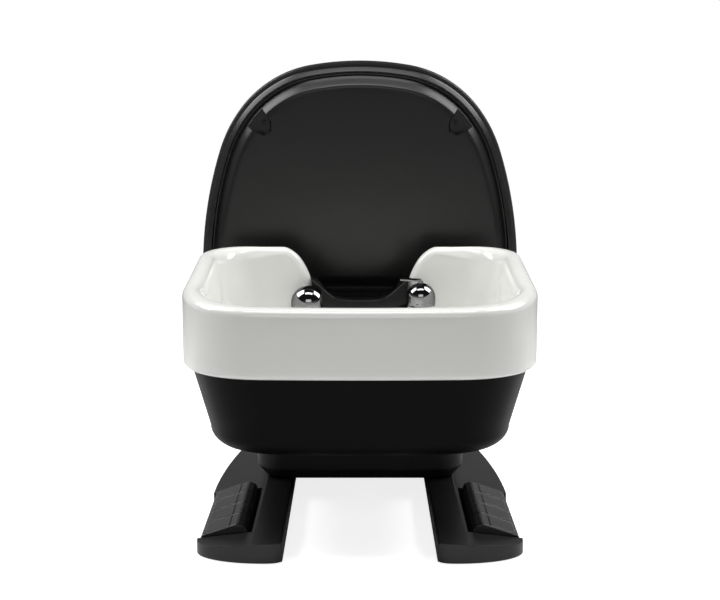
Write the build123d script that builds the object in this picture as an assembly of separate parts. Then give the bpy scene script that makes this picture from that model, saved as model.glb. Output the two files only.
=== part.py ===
"""Backwash unit: a wash bowl on a pedestal, with a sliding and reclining lounge chair behind it."""
from build123d import *
import math
import os

# Axes: x across the unit, y from the stylist (low) to the client's feet (high), z up from the floor.
# While a piece is drawn, y = 0 is the front of the bowl. All sizes are in millimetres and degrees.

# Clearances and wall sections shared by all pieces
overrun = 4.0
resting_gap = 0.3
moving_gap = 1.0
running_clearance = 0.05
moulding_wall = 4.0
plate_thickness = 8.0
tube_side = 24.0
screw_head_radius = 4.5
screw_head_height = 3.0
screw_shank_radius = 2.5
edge_steps = 3

# Bowl: glazed ceramic casting with a rolled rim that rises towards the client
bowl_width = 656.0
bowl_depth = 550.0
bowl_nose_radius_shares = (9.1463, 0.4329)
bowl_nose_turns = (3.5, 58.5)
bowl_corner_radius = 78.0
skirt_z = 330.0
rim_front_z = 453.0
rim_back_z = 511.0
rim_front_width = 50.0
rim_side_width = 40.0
rim_back_width = 25.0
rim_outer_radius = 14.0
skirt_edge_radius = 10.0
ceramic_wall = 12.0
deck_z = 360.0
deck_inset = 24.0
deck_depth = 125.0
basin_floor_z = 300.0
basin_draft = 62.0
basin_floor_radius = 24.0
basin_corner_share = 0.8192
drain_share = 0.42727
drain_radius = 30.0

# Neck notch in the bowl's back wall, half profile from the shoulder down to the notch floor
notch_floor_z = 385.0
notch_half_width = 99.0
notch_shoulder_half = 170.0
notch_corner_radius = 14.0
notch_width_shares = (1.0, 0.53, 0.10, 0.03)
notch_height_shares = (1.0, 0.84, 0.48, 0.36)

# Neck rest: soft saddle that hooks over the notch
saddle_reach_in = 42.0
saddle_reach_out = 30.0
saddle_low_z = 404.0
saddle_horn_z = 446.0
saddle_lip_z = 372.0
saddle_flat_half = 38.0
saddle_edge_radius = 5.0

# Mixer with a ball cap, a spout and a lever
mixer_x = 124.0
fittings_inset = 83.0
mixer_ball_radius = 28.5
mixer_ball_z = 417.0
mixer_flange_radius = 27.0
mixer_flange_height = 6.0
mixer_stem_radius = 17.0
mixer_cap_cut = 15.0
mixer_tail_radius = 11.0
mixer_tail_length = 46.0
spout_length = 34.0
spout_root_radius = 13.0
spout_tip_radius = 9.0
spout_bore_radius = 5.0
spout_drop = 12.0
lever_length = 46.0
lever_width = 15.0
lever_thickness = 6.0
lever_turn = 154.0
lever_hub_radius = 6.0
lever_slot_width = 9.0
lever_pin_radius = 2.0
lever_pin_height = 22.0

# Hand shower: ball head with a flat spray face towards the middle of the bowl, standing in a ring
shower_x = -105.0
shower_radius = 36.0
shower_z = 402.0
shower_face_offset = 26.0
shower_face_rim = 4.0
shower_face_depth = 3.0
shower_nozzle_radius = 1.6
shower_nozzle_rows = 2
shower_nozzles_per_row = 8
shower_handle_radius = 12.0
shower_handle_length = 95.0
holder_radius = 24.0
holder_height = 4.0
holder_sleeve_wall = 3.0
holder_sleeve_length = 30.0

# Drain, strainer, trap and waste pipe
strainer_flange = 5.0
strainer_height = 4.0
strainer_cup_depth = 16.0
strainer_cup_wall = 1.5
strainer_hole_radius = 2.5
strainer_holes = 8
drain_flange_width = 8.0
drain_flange_height = 2.5
drain_wall = 3.0
drain_length = 52.0
trap_radius = 36.0
trap_height = 52.0
trap_top_z = 262.0
waste_radius = 20.0
waste_wall = 2.5
waste_bend_radius = 36.0
waste_level_z = 225.0
waste_drop_inset = 60.0
waste_low_z = 108.0
waste_outlet_gap = 90.0
waste_end_z = 8.0

# Bowl housing: moulded tub under the bowl
housing_inset = 24.0
housing_low_inset = 56.0
housing_bottom_z = 175.0
housing_edge_radius = 26.0
housing_corner_radius = 70.0

# Bowl bracket and its rubber pads
bracket_arm_x = 120.0
bracket_arm_width = 30.0
bracket_arm_height = 24.0
bracket_front_share = 0.2
bracket_post_inset = 55.0
bracket_post_depth = 40.0
pad_radius = 18.0
pad_height = 12.0
pad_row_shares = (0.27273, 0.6)

# Pedestal cover and frame
pedestal_half_width = 214.0
pedestal_reach_in = 111.0
pedestal_overhang = 60.0
pedestal_corner_radius = 60.0
pedestal_bevel_width = 21.0
pedestal_bevel_height = 23.0
pedestal_top_z = 172.0
pedestal_screw_x = 109.0
pedestal_screw_z = 78.0
pedestal_window_half = 128.0
pedestal_window_gap = 4.0
frame_half_width = 176.0
frame_foot_gap = 140.0
frame_deck_inset = 21.0
frame_back_inset = 12.0
frame_post_side = 36.0
frame_post_x = 108.0
frame_post_gaps = (30.0, 210.0, 390.0)
rail_web_x = 116.0
rail_web_thickness = 4.0
pipe_hole_gap = 4.0

# Telescopic slide rails
rail_length = 560.0
rail_start_gap = 10.0
rail_top_z = 306.0
rail_height = 44.0
rail_wall = 2.5
rail_depth = 14.0
rail_step = 3.0
rail_play = 0.4
slide_travel = 490.0

# Slide cover and slide actuator inside it
slide_cover_half = 110.0
slide_cover_start = 120.0
slide_cover_inset = 18.0
slide_cover_top_z = 240.0
actuator_z = 212.0
actuator_tube_radius = 22.0
actuator_start = 36.0
slide_rod_radius = 11.0
actuator_end_wall = 10.0
motor_radius = 30.0
motor_length = 70.0
motor_offset = 40.0

# Base: two legs towards the stylist, steel beams inside moulded covers
leg_inner_x = 138.0
leg_crease_x = 192.0
leg_outer_x = 296.0
leg_front_y = 2.0
leg_nose_depth = 75.0
leg_nose_tip_share = 0.22
leg_nose_corner_share = 0.18
leg_nose_turns = (15, 30, 45, 60, 75, 90)
leg_tail_lean = 0.4
leg_straight_y = 400.0
leg_back_inset = 145.0
leg_back_x = 206.0
leg_tail_start_share = 0.333
leg_tail_end_share = 0.256
leg_height = 37.0
leg_floor_gap = 2.0
leg_slope = 6.6
leg_crease_step = 1.0
leg_edge_radius = 5.0
leg_wall = 4.0
glide_radius = 17.0
glide_height = 6.0
glide_front_y = 60.0
beam_x = 164.0
beam_width = 36.0
beam_height = 22.0
beam_front_y = 36.0
cross_beam_depth = 80.0
cross_beam_gap = 10.0
cross_beam_inset = 92.0
floor_bolt_radius = 5.5
floor_bolt_x = 80.0

# Foot pedals, four on each leg, in an open-sided recess
pedal_count = 4
pedal_pitch = 75.5
pedal_first_y = 86.0
pedal_inner_x = 203.0
pedal_outer_x = 289.0
pedal_crest_x = 224.0
pedal_crest_z = 50.0
pedal_shoulder_x = 210.0
pedal_shoulder_z = 45.0
pedal_tip_z = 28.0
pedal_under_z = 18.0
pedal_skin = 5.0
pedal_edge_radius = 2.0
pedal_shaft_x = 212.0
pedal_shaft_z = 26.0
pedal_shaft_radius = 4.0
pedal_travel = 4.0
recess_inner_x = 197.0
recess_floor_z = 9.0
recess_end_gap = 2.0
tread_inner_x = 238.0
tread_outer_x = 283.0
tread_height = 1.2
tread_margin = 5.0
tread_pitch = 7.0
tread_rib_width = 3.5
switch_x = 248.0
switch_length = 26.0
switch_width = 14.0
switch_height = 6.5
plunger_radius = 2.5

# Chair: seat frame, pan and cushion, on the inner slide members
seat_side_gap = 96.0
seat_back_gap = 52.0
seat_depth = 448.0
seat_top_z = 440.0
seat_corner_radius = 60.0
seat_edge_radius = 28.0
seat_frame_top_z = 308.0
seat_rail_width = 30.0
seat_rail_overhang = 102.0
pan_thickness = 14.0
pan_slot_width = 34.0
rear_plate_inset = 30.0
rear_plate_depth = 68.0
front_plate_inset = 140.0
front_plate_depth = 76.0
rod_bracket_thickness = 12.0
rod_bracket_half = 21.0

# Arms
arm_gap = 21.0
arm_thickness = 14.0
arm_post_depth = 66.0
arm_top_z = 566.0
arm_beam_height = 16.0
arm_back_inset = 34.0
arm_front_inset = 80.0
arm_bend_radius = 40.0
arm_pad_width = 58.0
arm_pad_height = 40.0
arm_pad_edge_radius = 17.0

# Back: shell, frame, board and cushion, drawn in a plane that leans towards the bowl
back_lean = 8.0
back_gap = 94.2
back_mid_z = 470.0
back_half_width = 341.0
back_straight = 9.344
back_drop = 83.0
back_dome_radius_shares = (1.7595, 0.68915, 0.87977)
back_dome_turns = (10.0, 42.0, 20.0)
back_corner_radius = 36.0
shell_inset = 9.0
shell_back_depth = 12.0
bead_height = 4.0
bead_radius = 4.5
groove_inset = 12.0
groove_width = 4.0
slope_width = 22.0
panel_height = 20.0
shell_wall = 4.0
pocket_inset = 140.0
pocket_drop = 125.0
pocket_span = 48.0
pocket_floor = 4.0
pocket_width_shares = (-0.78, -0.76, 0.03, 0.29, 0.29, -0.08, -0.62)
pocket_rise_shares = (0.08, -0.22, -0.52, -0.35, 0.04, 0.68, 0.37)
boss_radius = 9.0
low_screw_drop = 30.0
back_frame_gap = 31.0
back_frame_drop = 245.0
back_board_thickness = 5.0
back_cushion_thickness = 58.0
back_cushion_wall = 20.0
back_crown_inset = 60.0
back_crown_depth_shares = (0.0, 0.12, 0.5, 0.76, 0.92, 1.0)
back_crown_inset_shares = (0.04, 0.0, 0.08, 0.24, 0.5, 1.0)
back_recline = 78.0

# Recline shaft and actuator
recline_setback = 45.8
recline_z = 360.0
recline_shaft_radius = 11.0
recline_bracket_gap = 8.0
bush_wall = 3.0
bush_flange = 2.0
eye_wall = 5.0
recline_arm_x = 50.0
lever_drop = 75.0
lever_plate_width = 33.0
drive_slot_half = 9.5
drive_pin_radius = 4.0
drive_pin_length = 14.0
rod_radius = 7.0
tube_radius = 14.0
tube_length = 190.0
tube_wall = 3.0
drive_motor_radius = 20.0
drive_motor_length = 84.0

# Legrest
legrest_gap = 40.0
legrest_z = 350.0
legrest_shaft_radius = 9.0
legrest_side_inset = 20.0
legrest_length = 275.0
legrest_board_thickness = 12.0
legrest_cushion_thickness = 58.0
legrest_edge_radius = 24.0
legrest_bracket_x = 157.0
legrest_bracket_thickness = 8.0
legrest_lift = 85.0
legrest_arm_x = -50.0

# Control box and water inlets inside the pedestal
box_width = 164.0
box_depth = 130.0
box_height = 66.0
box_start = 110.0
inlet_x = 60.0
inlet_radius = 10.5
inlet_body_radius = 15.0
inlet_length = 24.0
inlet_body_length = 32.0
inlet_end_z = 12.0

# Places along the unit, each from the piece before it
deck_front_y = bowl_depth - deck_depth
drain_y = bowl_depth * drain_share
fittings_y = bowl_depth - fittings_inset
saddle_front_y = bowl_depth - saddle_reach_in
saddle_back_y = bowl_depth + saddle_reach_out
waste_drop_y = bowl_depth - waste_drop_inset
waste_outlet_y = bowl_depth + waste_outlet_gap
bracket_front_y = bowl_depth * bracket_front_share
bracket_post_y = bowl_depth - bracket_post_inset
pad_rows_y = [bowl_depth * share for share in pad_row_shares]
back_mid_y = bowl_depth + back_gap
recline_y = back_mid_y + recline_setback
seat_back_y = recline_y + seat_back_gap
seat_front_y = seat_back_y + seat_depth
seat_rail_back_y = seat_back_y - seat_rail_overhang
rear_plate_y = seat_back_y + rear_plate_inset
front_plate_y = seat_front_y - front_plate_inset
rod_bracket_y = front_plate_y + front_plate_depth
arm_back_y = rear_plate_y + arm_back_inset
arm_front_y = seat_front_y - arm_front_inset
legrest_y = seat_front_y + legrest_gap
pedestal_front_y = bowl_depth - pedestal_reach_in
pedestal_back_y = seat_front_y - pedestal_overhang
frame_foot_y = bowl_depth + frame_foot_gap
frame_deck_front_y = pedestal_front_y + frame_deck_inset
frame_back_y = pedestal_back_y - frame_back_inset
frame_post_rows_y = [frame_foot_y + gap for gap in frame_post_gaps]
rail_start_y = bowl_depth + rail_start_gap
pedestal_window_y = rail_start_y - pedestal_window_gap
slide_cover_front_y = rail_start_y + slide_cover_start
slide_cover_back_y = pedestal_back_y - slide_cover_inset
actuator_front_y = rail_start_y + actuator_start
actuator_back_y = slide_cover_back_y
slide_rod_start_y = actuator_front_y + actuator_end_wall
leg_back_y = pedestal_back_y - leg_back_inset
beam_back_y = frame_back_y
cross_beam_rows_y = (frame_foot_y + cross_beam_gap, pedestal_back_y - cross_beam_inset)
glide_rows_y = (glide_front_y, *[row + cross_beam_depth / 2 for row in cross_beam_rows_y])
box_y = frame_foot_y + box_start

# Places across the unit, each from the piece before it
seat_half_width = back_half_width - seat_side_gap
recline_bracket_x = seat_half_width + recline_bracket_gap
back_frame_x = seat_half_width + back_frame_gap
pocket_x = back_half_width - pocket_inset
arm_inner_x = seat_half_width + arm_gap
legrest_half_width = seat_half_width - legrest_side_inset

# Sizes that follow from the ones above
notch_height = rim_back_z - notch_floor_z
rim_slope = (rim_back_z - rim_front_z) / bowl_depth
tub_bottom_z = basin_floor_z - ceramic_wall
frame_foot_z = glide_height + beam_height
frame_deck_z = pedestal_top_z - moulding_wall - resting_gap
rail_mid_z = rail_top_z - rail_height / 2
legrest_eye = legrest_shaft_radius + running_clearance + bush_wall + eye_wall
legrest_board_y = legrest_y + legrest_eye + moving_gap
legrest_face_y = legrest_board_y + legrest_board_thickness + resting_gap + legrest_cushion_thickness
overall_length = legrest_face_y
pan_z = seat_frame_top_z + plate_thickness + resting_gap
seat_under_z = pan_z + pan_thickness + resting_gap
drive_z = recline_z - lever_drop
drive_reach = lever_drop * math.tan(math.radians(back_recline / 2))
legrest_drop = legrest_z - drive_z
legrest_reach = legrest_drop * math.tan(math.radians(legrest_lift / 2))
recline_pin_y = recline_y - drive_reach
recline_stroke = 2 * drive_reach
recline_room = recline_stroke + lever_plate_width
recline_far_y = recline_pin_y + recline_room + tube_length
legrest_pin_y = legrest_y - legrest_reach
legrest_stroke = 2 * legrest_reach
legrest_far_y = legrest_pin_y - lever_plate_width - tube_length
drive_case_depth = drive_motor_radius * 2
back_plane = Plane(
    origin=(0, back_mid_y, back_mid_z),
    x_dir=(1, 0, 0),
    z_dir=(0, -math.cos(math.radians(back_lean)), -math.sin(math.radians(back_lean))),
)


def block(x_span, y_span, z_span):
    """Rectangular solid between two values on each axis."""
    size = (x_span[1] - x_span[0], y_span[1] - y_span[0], z_span[1] - z_span[0])
    corner = (Align.MIN, Align.MIN, Align.MIN)
    return Pos(x_span[0], y_span[0], z_span[0]) * Box(*size, align=corner)


def bar(radius, start, end):
    """Round bar from one point to another."""
    path = Vector(*end) - Vector(*start)
    place = Plane(origin=start, z_dir=path)
    return place * Cylinder(radius, path.length, align=(Align.CENTER, Align.CENTER, Align.MIN))


def prism_along_x(points, x_span):
    """Solid with an outline of (y, z) points, carried along x."""
    face = Plane.YZ * Polygon(*points, align=None)
    return Pos(x_span[0], 0, 0) * extrude(face, x_span[1] - x_span[0], dir=(1, 0, 0))


def prism_along_y(face, y_span):
    """Solid with a face drawn as (x, z), carried along y."""
    return Pos(0, y_span[1], 0) * extrude(Plane.XZ * face, y_span[1] - y_span[0], dir=(0, -1, 0))


def raise_face(face, z_span):
    """Solid with a face drawn as (x, y), between two heights."""
    return Pos(0, 0, z_span[0]) * extrude(face, z_span[1] - z_span[0], dir=(0, 0, 1))


def both_sides(solid):
    """A solid of the right side and its mirror image on the left."""
    return [solid, mirror(solid, Plane.YZ)]


def nose_drop(half_width, radii, turns):
    """Last radius that brings a chain of tangent arcs out to half_width, and how far the chain falls."""
    across = 0
    fall = 0
    angle = 0
    for radius, turn in zip(radii, turns):
        end = angle + math.radians(turn)
        across += radius * (math.sin(end) - math.sin(angle))
        fall += radius * (math.cos(angle) - math.cos(end))
        angle = end
    last = (half_width - across) / (1 - math.sin(angle))
    return last, fall + last * math.cos(angle)


def nose_fall(half_width, radius_shares, turns):
    """How far a chain of tangent arcs falls on its way out to half_width."""
    return nose_drop(half_width, [share * half_width for share in radius_shares], turns)[1]


def nose_arcs(start, heading, radii, turns, last, hand):
    """Tangent arcs from one flank over the middle to the other flank; hand 1 turns left, -1 right."""
    outward = list(zip((*radii[1:], last), (*turns[1:], 90 - sum(turns))))
    chain = [*reversed(outward), (radii[0], 2 * turns[0]), *outward]
    arcs = Curve()
    for radius, turn in chain:
        arc = JernArc(start, heading, radius, hand * turn)
        start = arc @ 1
        heading = arc % 1
        arcs += arc
    return arcs


def bowl_plan(front_inset, side_inset, back_inset, corner_radius):
    """Plan of the bowl: squared nose, straight sides and two round corners at the client's end."""
    half = bowl_width / 2 - side_inset
    back_y = bowl_depth - back_inset
    radii = [share * half for share in bowl_nose_radius_shares]
    last, fall = nose_drop(half, radii, bowl_nose_turns)
    side_y = front_inset + fall
    nose = nose_arcs((-half, side_y), (0, -1), radii, bowl_nose_turns, last, 1)
    right = Line((half, side_y), (half, back_y - corner_radius))
    right_corner = JernArc(right @ 1, (0, 1), corner_radius, 90)
    back = Line(right_corner @ 1, (corner_radius - half, back_y))
    left_corner = JernArc(back @ 1, (-1, 0), corner_radius, 90)
    left = Line(left_corner @ 1, (-half, side_y))
    return make_face(nose + right + right_corner + back + left_corner + left)


def above_rim(drop):
    """Space above the sloping rim, lowered by drop."""
    low = rim_front_z - drop - rim_slope * overrun
    high = rim_back_z - drop + rim_slope * overrun
    top = rim_back_z + rim_front_width
    points = [(-overrun, low), (bowl_depth + overrun, high), (bowl_depth + overrun, top), (-overrun, top)]
    reach = bowl_width / 2 + overrun
    return prism_along_x(points, (-reach, reach))


def upper_cavity(grow):
    """Space between the wings, from the deck up past the rim."""
    low = bowl_plan(
        rim_front_width + deck_inset / 2 - grow,
        rim_side_width + deck_inset / 2 - grow,
        rim_back_width - grow / 2,
        bowl_corner_radius,
    )
    high = bowl_plan(
        rim_front_width - grow,
        rim_side_width - grow,
        rim_back_width - grow / 2,
        bowl_corner_radius,
    )
    faces = [Pos(0, 0, deck_z - grow) * low, Pos(0, 0, rim_back_z + overrun) * high]
    return loft(faces, ruled=True)


def basin(grow):
    """Basin below the deck, narrowing towards a round-edged floor."""
    back_inset = bowl_depth - deck_front_y - grow
    front = rim_front_width + deck_inset / 2 - grow
    side = rim_side_width + deck_inset / 2 - grow
    narrowing = basin_draft + basin_floor_radius
    floor_half = bowl_width / 2 - side - grow - narrowing
    floor_back_y = deck_front_y - basin_draft / 2 - basin_floor_radius
    floor_side_y = front + grow + narrowing + nose_fall(floor_half, bowl_nose_radius_shares, bowl_nose_turns)
    corner = basin_corner_share * (floor_back_y - floor_side_y)
    faces = []
    for step in range(edge_steps + 1):
        angle = math.pi / 2 * step / edge_steps
        turn = basin_floor_radius * (1 - math.sin(angle))
        inset = basin_draft + turn
        back = back_inset + basin_draft / 2 + turn
        face = bowl_plan(front + inset, side + inset, back, corner)
        faces.append(Pos(0, 0, basin_floor_z - grow + basin_floor_radius * (1 - math.cos(angle))) * face)
    high = bowl_plan(front, side, back_inset, corner)
    faces.append(Pos(0, 0, deck_z + overrun) * high)
    return loft(faces, ruled=True)


def notch_face(gap):
    """Neck notch as an (x, z) face: curved shoulders, steep sides, flat floor."""
    spread = notch_shoulder_half - notch_half_width
    side = []
    for width, height in zip(notch_width_shares, notch_height_shares):
        side.append((notch_half_width + width * spread - gap, notch_floor_z + height * notch_height + gap))
    foot = (notch_half_width - gap, notch_floor_z + notch_corner_radius + gap)
    points = [*side, foot]
    right = Spline(*points, tangents=[(-1, 0), (0, -1)])
    left = Spline(*[(-x, z) for x, z in reversed(points)], tangents=[(0, 1), (-1, 0)])
    right_foot = JernArc(right @ 1, (0, -1), notch_corner_radius, -90)
    floor = Line(right_foot @ 1, (notch_corner_radius + gap - notch_half_width, notch_floor_z + gap))
    left_foot = JernArc(floor @ 1, (-1, 0), notch_corner_radius, -90)
    lift = Line(left @ 1, (left @ 1) + Vector(0, rim_front_width))
    top = Line(lift @ 1, (right @ 0) + Vector(0, rim_front_width))
    drop = Line(top @ 1, right @ 0)
    return make_face(right + right_foot + floor + left_foot + left + lift + top + drop)


def make_bowl():
    """Glazed bowl: sloping rolled rim, skirt that hangs outside the basin, deck for the fittings."""
    body = raise_face(bowl_plan(0, 0, 0, bowl_corner_radius), (skirt_z, rim_back_z + overrun))
    body -= above_rim(0)
    body = fillet(body.faces().sort_by(Axis.Z)[-1].edges(), rim_outer_radius)
    body = fillet(body.faces().sort_by(Axis.Z)[0].edges(), skirt_edge_radius)
    wall = ceramic_wall
    hollow_plan = bowl_plan(wall, wall, deck_inset * 2, bowl_corner_radius)
    hollow = raise_face(hollow_plan, (skirt_z - overrun, rim_back_z))
    hollow -= above_rim(wall)
    hollow -= upper_cavity(wall)
    hollow -= basin(wall)
    body = body - hollow + (basin(wall) - raise_face(hollow_plan, (deck_z, rim_back_z)))
    body -= upper_cavity(0)
    body -= basin(0)
    body -= prism_along_y(notch_face(0), (deck_front_y + ceramic_wall, bowl_depth + overrun))
    body -= bar(drain_radius, (0, drain_y, tub_bottom_z - overrun), (0, drain_y, deck_z))
    mixer_hole = mixer_tail_radius + moving_gap
    body -= bar(mixer_hole, (mixer_x, fittings_y, skirt_z), (mixer_x, fittings_y, deck_z + overrun))
    sleeve = shower_handle_radius + holder_sleeve_wall + 2 * moving_gap
    body -= bar(sleeve, (shower_x, fittings_y, skirt_z), (shower_x, fittings_y, deck_z + overrun))
    return body


def saddle_face(half_width, low_z):
    """Saddle profile as an (x, z) face: flat in the middle, rising to a horn at each side."""
    middle = (saddle_flat_half + half_width) / 2
    middle_z = (saddle_low_z + saddle_horn_z) / 2
    right = Spline((saddle_flat_half, saddle_low_z), (middle, middle_z), (half_width, saddle_horn_z))
    left = Spline((-half_width, saddle_horn_z), (-middle, middle_z), (-saddle_flat_half, saddle_low_z))
    crown = Line(left @ 1, right @ 0)
    down = Line(right @ 1, (half_width, low_z))
    under = Line(down @ 1, (-half_width, low_z))
    up = Line(under @ 1, left @ 0)
    return make_face(left + crown + right + down + under + up)


def make_neck_rest():
    """Soft saddle in the notch, with a lip before and behind the wall."""
    half = notch_half_width - resting_gap
    wall_front = bowl_depth - rim_back_width
    profile = saddle_face(half, notch_floor_z + resting_gap)
    core = prism_along_y(profile, (saddle_front_y, saddle_back_y))
    corner = notch_corner_radius
    for side in (-1, 1):
        edges = core.edges().filter_by(Axis.Y)
        foot = edges.sort_by_distance((side * half, (saddle_front_y + saddle_back_y) / 2, notch_floor_z))[0]
        core = fillet(foot, corner)
    lip = saddle_face(half, saddle_lip_z)
    front = prism_along_y(lip, (saddle_front_y, wall_front - resting_gap))
    back = prism_along_y(lip, (bowl_depth + resting_gap, saddle_back_y))
    rest = core + front + back
    end = rest.faces().sort_by(Axis.Y)[0]
    rest = fillet(end.edges(), saddle_edge_radius)
    return fillet(rest.faces().sort_by(Axis.Y)[-1].edges(), saddle_edge_radius)


def make_mixer_base():
    """Fixed part of the mixer: flange, stem, tail through the deck, and the spout."""
    x, y = mixer_x, fittings_y
    cut_z = mixer_ball_z - mixer_cap_cut
    flange = bar(mixer_flange_radius, (x, y, deck_z + resting_gap), (x, y, deck_z + mixer_flange_height))
    flange = fillet(flange.edges().group_by(Axis.Z)[-1], mixer_flange_height / 3)
    stem = bar(mixer_stem_radius, (x, y, deck_z + resting_gap), (x, y, cut_z - resting_gap))
    tail = bar(mixer_tail_radius, (x, y, deck_z - mixer_tail_length), (x, y, deck_z + mixer_flange_height))
    root = Vector(x, y, cut_z - spout_root_radius - moving_gap)
    way = Vector(-spout_length, -spout_length / 2, -spout_drop)
    place = Plane(origin=root, z_dir=way)
    low = (Align.CENTER, Align.CENTER, Align.MIN)
    spout = place * Cone(spout_root_radius, spout_tip_radius, mixer_stem_radius + spout_length, align=low)
    bore = place * Cylinder(spout_bore_radius, mixer_stem_radius + spout_length + overrun, align=low)
    return flange + stem + tail + (spout - bore)


def make_mixer_cap():
    """Ball cap that turns on the stem, slotted at the top for the lever."""
    x, y = mixer_x, fittings_y
    ball = Pos(x, y, mixer_ball_z) * Sphere(mixer_ball_radius)
    reach = mixer_ball_radius + overrun
    cut_z = mixer_ball_z - mixer_cap_cut
    ball -= block((x - reach, x + reach), (y - reach, y + reach), (mixer_ball_z - reach, cut_z))
    slot_depth = mixer_ball_radius - lever_pin_height + lever_hub_radius + moving_gap
    slot_z = mixer_ball_z + mixer_ball_radius - slot_depth
    half = (lever_slot_width + moving_gap) / 2
    slot = block((-half - half, reach), (-half, half), (slot_z, mixer_ball_z + reach))
    ball -= Pos(x, y, 0) * Rot(0, 0, lever_turn) * slot
    return ball


def make_mixer_lever():
    """Flat lever blade on a small hub in the cap's slot, drawn along +x and then turned."""
    pin_z = mixer_ball_z + lever_pin_height
    half = (lever_slot_width - moving_gap) / 2
    hub = bar(lever_hub_radius, (0, -half, pin_z), (0, half, pin_z))
    blade_z = mixer_ball_z + mixer_ball_radius + resting_gap
    neck = block((0, lever_hub_radius), (-half, half), (pin_z, blade_z + lever_thickness))
    wide = lever_width / 2
    blade = block((0, lever_length), (-wide, wide), (blade_z, blade_z + lever_thickness))
    blade = fillet(blade.edges().filter_by(Axis.Z).group_by(Axis.X)[-1], lever_width / 3)
    blade = fillet(blade.faces().sort_by(Axis.Z)[-1].edges(), lever_thickness / 4)
    return Pos(mixer_x, fittings_y, 0) * Rot(0, 0, lever_turn) * (hub + neck + blade)


def make_hand_shower():
    """Ball head with a recessed spray face, and the round handle that stands in the holder."""
    x, y = shower_x, fittings_y
    ball = Pos(x, y, shower_z) * Sphere(shower_radius)
    face_x = x + shower_face_offset
    reach = shower_radius + overrun
    ball -= block((face_x, x + reach), (y - reach, y + reach), (shower_z - reach, shower_z + reach))
    face_radius = math.sqrt(shower_radius ** 2 - shower_face_offset ** 2) - shower_face_rim
    dish = bar(face_radius, (face_x - shower_face_depth, y, shower_z), (face_x + overrun, y, shower_z))
    ball -= dish
    for row in range(1, shower_nozzle_rows + 1):
        ring = face_radius * row / (shower_nozzle_rows + 1) + shower_nozzle_radius
        for number in range(shower_nozzles_per_row):
            angle = 2 * math.pi * number / shower_nozzles_per_row
            at_y = y + ring * math.cos(angle)
            at_z = shower_z + ring * math.sin(angle)
            root_x = face_x - shower_face_depth
            nub = bar(shower_nozzle_radius, (root_x - resting_gap, at_y, at_z), (face_x, at_y, at_z))
            ball += nub
    low_z = shower_z - shower_handle_length
    return ball + bar(shower_handle_radius, (x, y, low_z), (x, y, shower_z))


def make_shower_holder():
    """Ring and sleeve in the deck that the shower's handle stands in."""
    x, y = shower_x, fittings_y
    bore = shower_handle_radius + moving_gap / 2
    top_z = deck_z + holder_height
    foot_z = deck_z - holder_sleeve_length
    ring = bar(holder_radius, (x, y, deck_z + resting_gap), (x, y, top_z))
    ring += bar(bore + holder_sleeve_wall, (x, y, foot_z), (x, y, top_z))
    ring -= bar(bore, (x, y, foot_z - overrun), (x, y, top_z + overrun))
    clear = shower_radius + moving_gap / 2
    return ring - Pos(x, y, shower_z) * Sphere(clear)


def make_drain_body():
    """Flanged tube through the basin floor."""
    y = drain_y
    bore = drain_radius - resting_gap - drain_wall
    top = basin_floor_z + drain_flange_height + resting_gap
    body = bar(drain_radius + drain_flange_width, (0, y, basin_floor_z + resting_gap), (0, y, top))
    body += bar(drain_radius - resting_gap, (0, y, basin_floor_z - drain_length), (0, y, top))
    return body - bar(bore, (0, y, basin_floor_z - drain_length - overrun), (0, y, top + overrun))


def make_strainer():
    """Lift-out hair strainer: a pierced cup with a flange and a finger stub."""
    y = drain_y
    rest_z = basin_floor_z + drain_flange_height + 2 * resting_gap
    cup_radius = drain_radius - drain_wall - moving_gap
    cup = bar(cup_radius, (0, y, rest_z - strainer_cup_depth), (0, y, rest_z + strainer_height / 2))
    cup += bar(cup_radius + strainer_flange, (0, y, rest_z), (0, y, rest_z + strainer_height / 2))
    inside = cup_radius - strainer_cup_wall
    floor_z = rest_z - strainer_cup_depth + strainer_cup_wall
    cup -= bar(inside, (0, y, floor_z), (0, y, rest_z + strainer_height))
    for number in range(strainer_holes):
        angle = 2 * math.pi * number / strainer_holes
        at = (inside * math.cos(angle) / 2, y + inside * math.sin(angle) / 2)
        below_z = floor_z - strainer_cup_wall - overrun
        cup -= bar(strainer_hole_radius, (*at, below_z), (*at, floor_z + overrun))
    stub_top = rest_z + strainer_height
    return cup + bar(strainer_height, (0, y, floor_z - resting_gap), (0, y, stub_top))


def make_waste_pipe():
    """Bottle trap under the drain and the pipe that runs from it down through the pedestal."""
    y = drain_y
    inner = drain_radius
    trap = bar(trap_radius, (0, y, trap_top_z - trap_height), (0, y, trap_top_z))
    trap -= bar(inner, (0, y, trap_top_z - trap_height + waste_wall), (0, y, trap_top_z + overrun))
    points = [
        (0, y + inner, waste_level_z),
        (0, waste_drop_y, waste_level_z),
        (0, waste_drop_y, waste_low_z),
        (0, waste_outlet_y, waste_low_z),
        (0, waste_outlet_y, waste_end_z),
    ]
    route = FilletPolyline(*points, radius=waste_bend_radius)
    start = Plane(origin=route @ 0, z_dir=route % 0)
    pipe = sweep(start * Circle(waste_radius), path=route)
    hole = sweep(start * Circle(waste_radius - waste_wall), path=route)
    trap -= bar(waste_radius - waste_wall, (0, y, waste_level_z), (0, y + trap_radius, waste_level_z))
    return trap + (pipe - hole)


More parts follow.
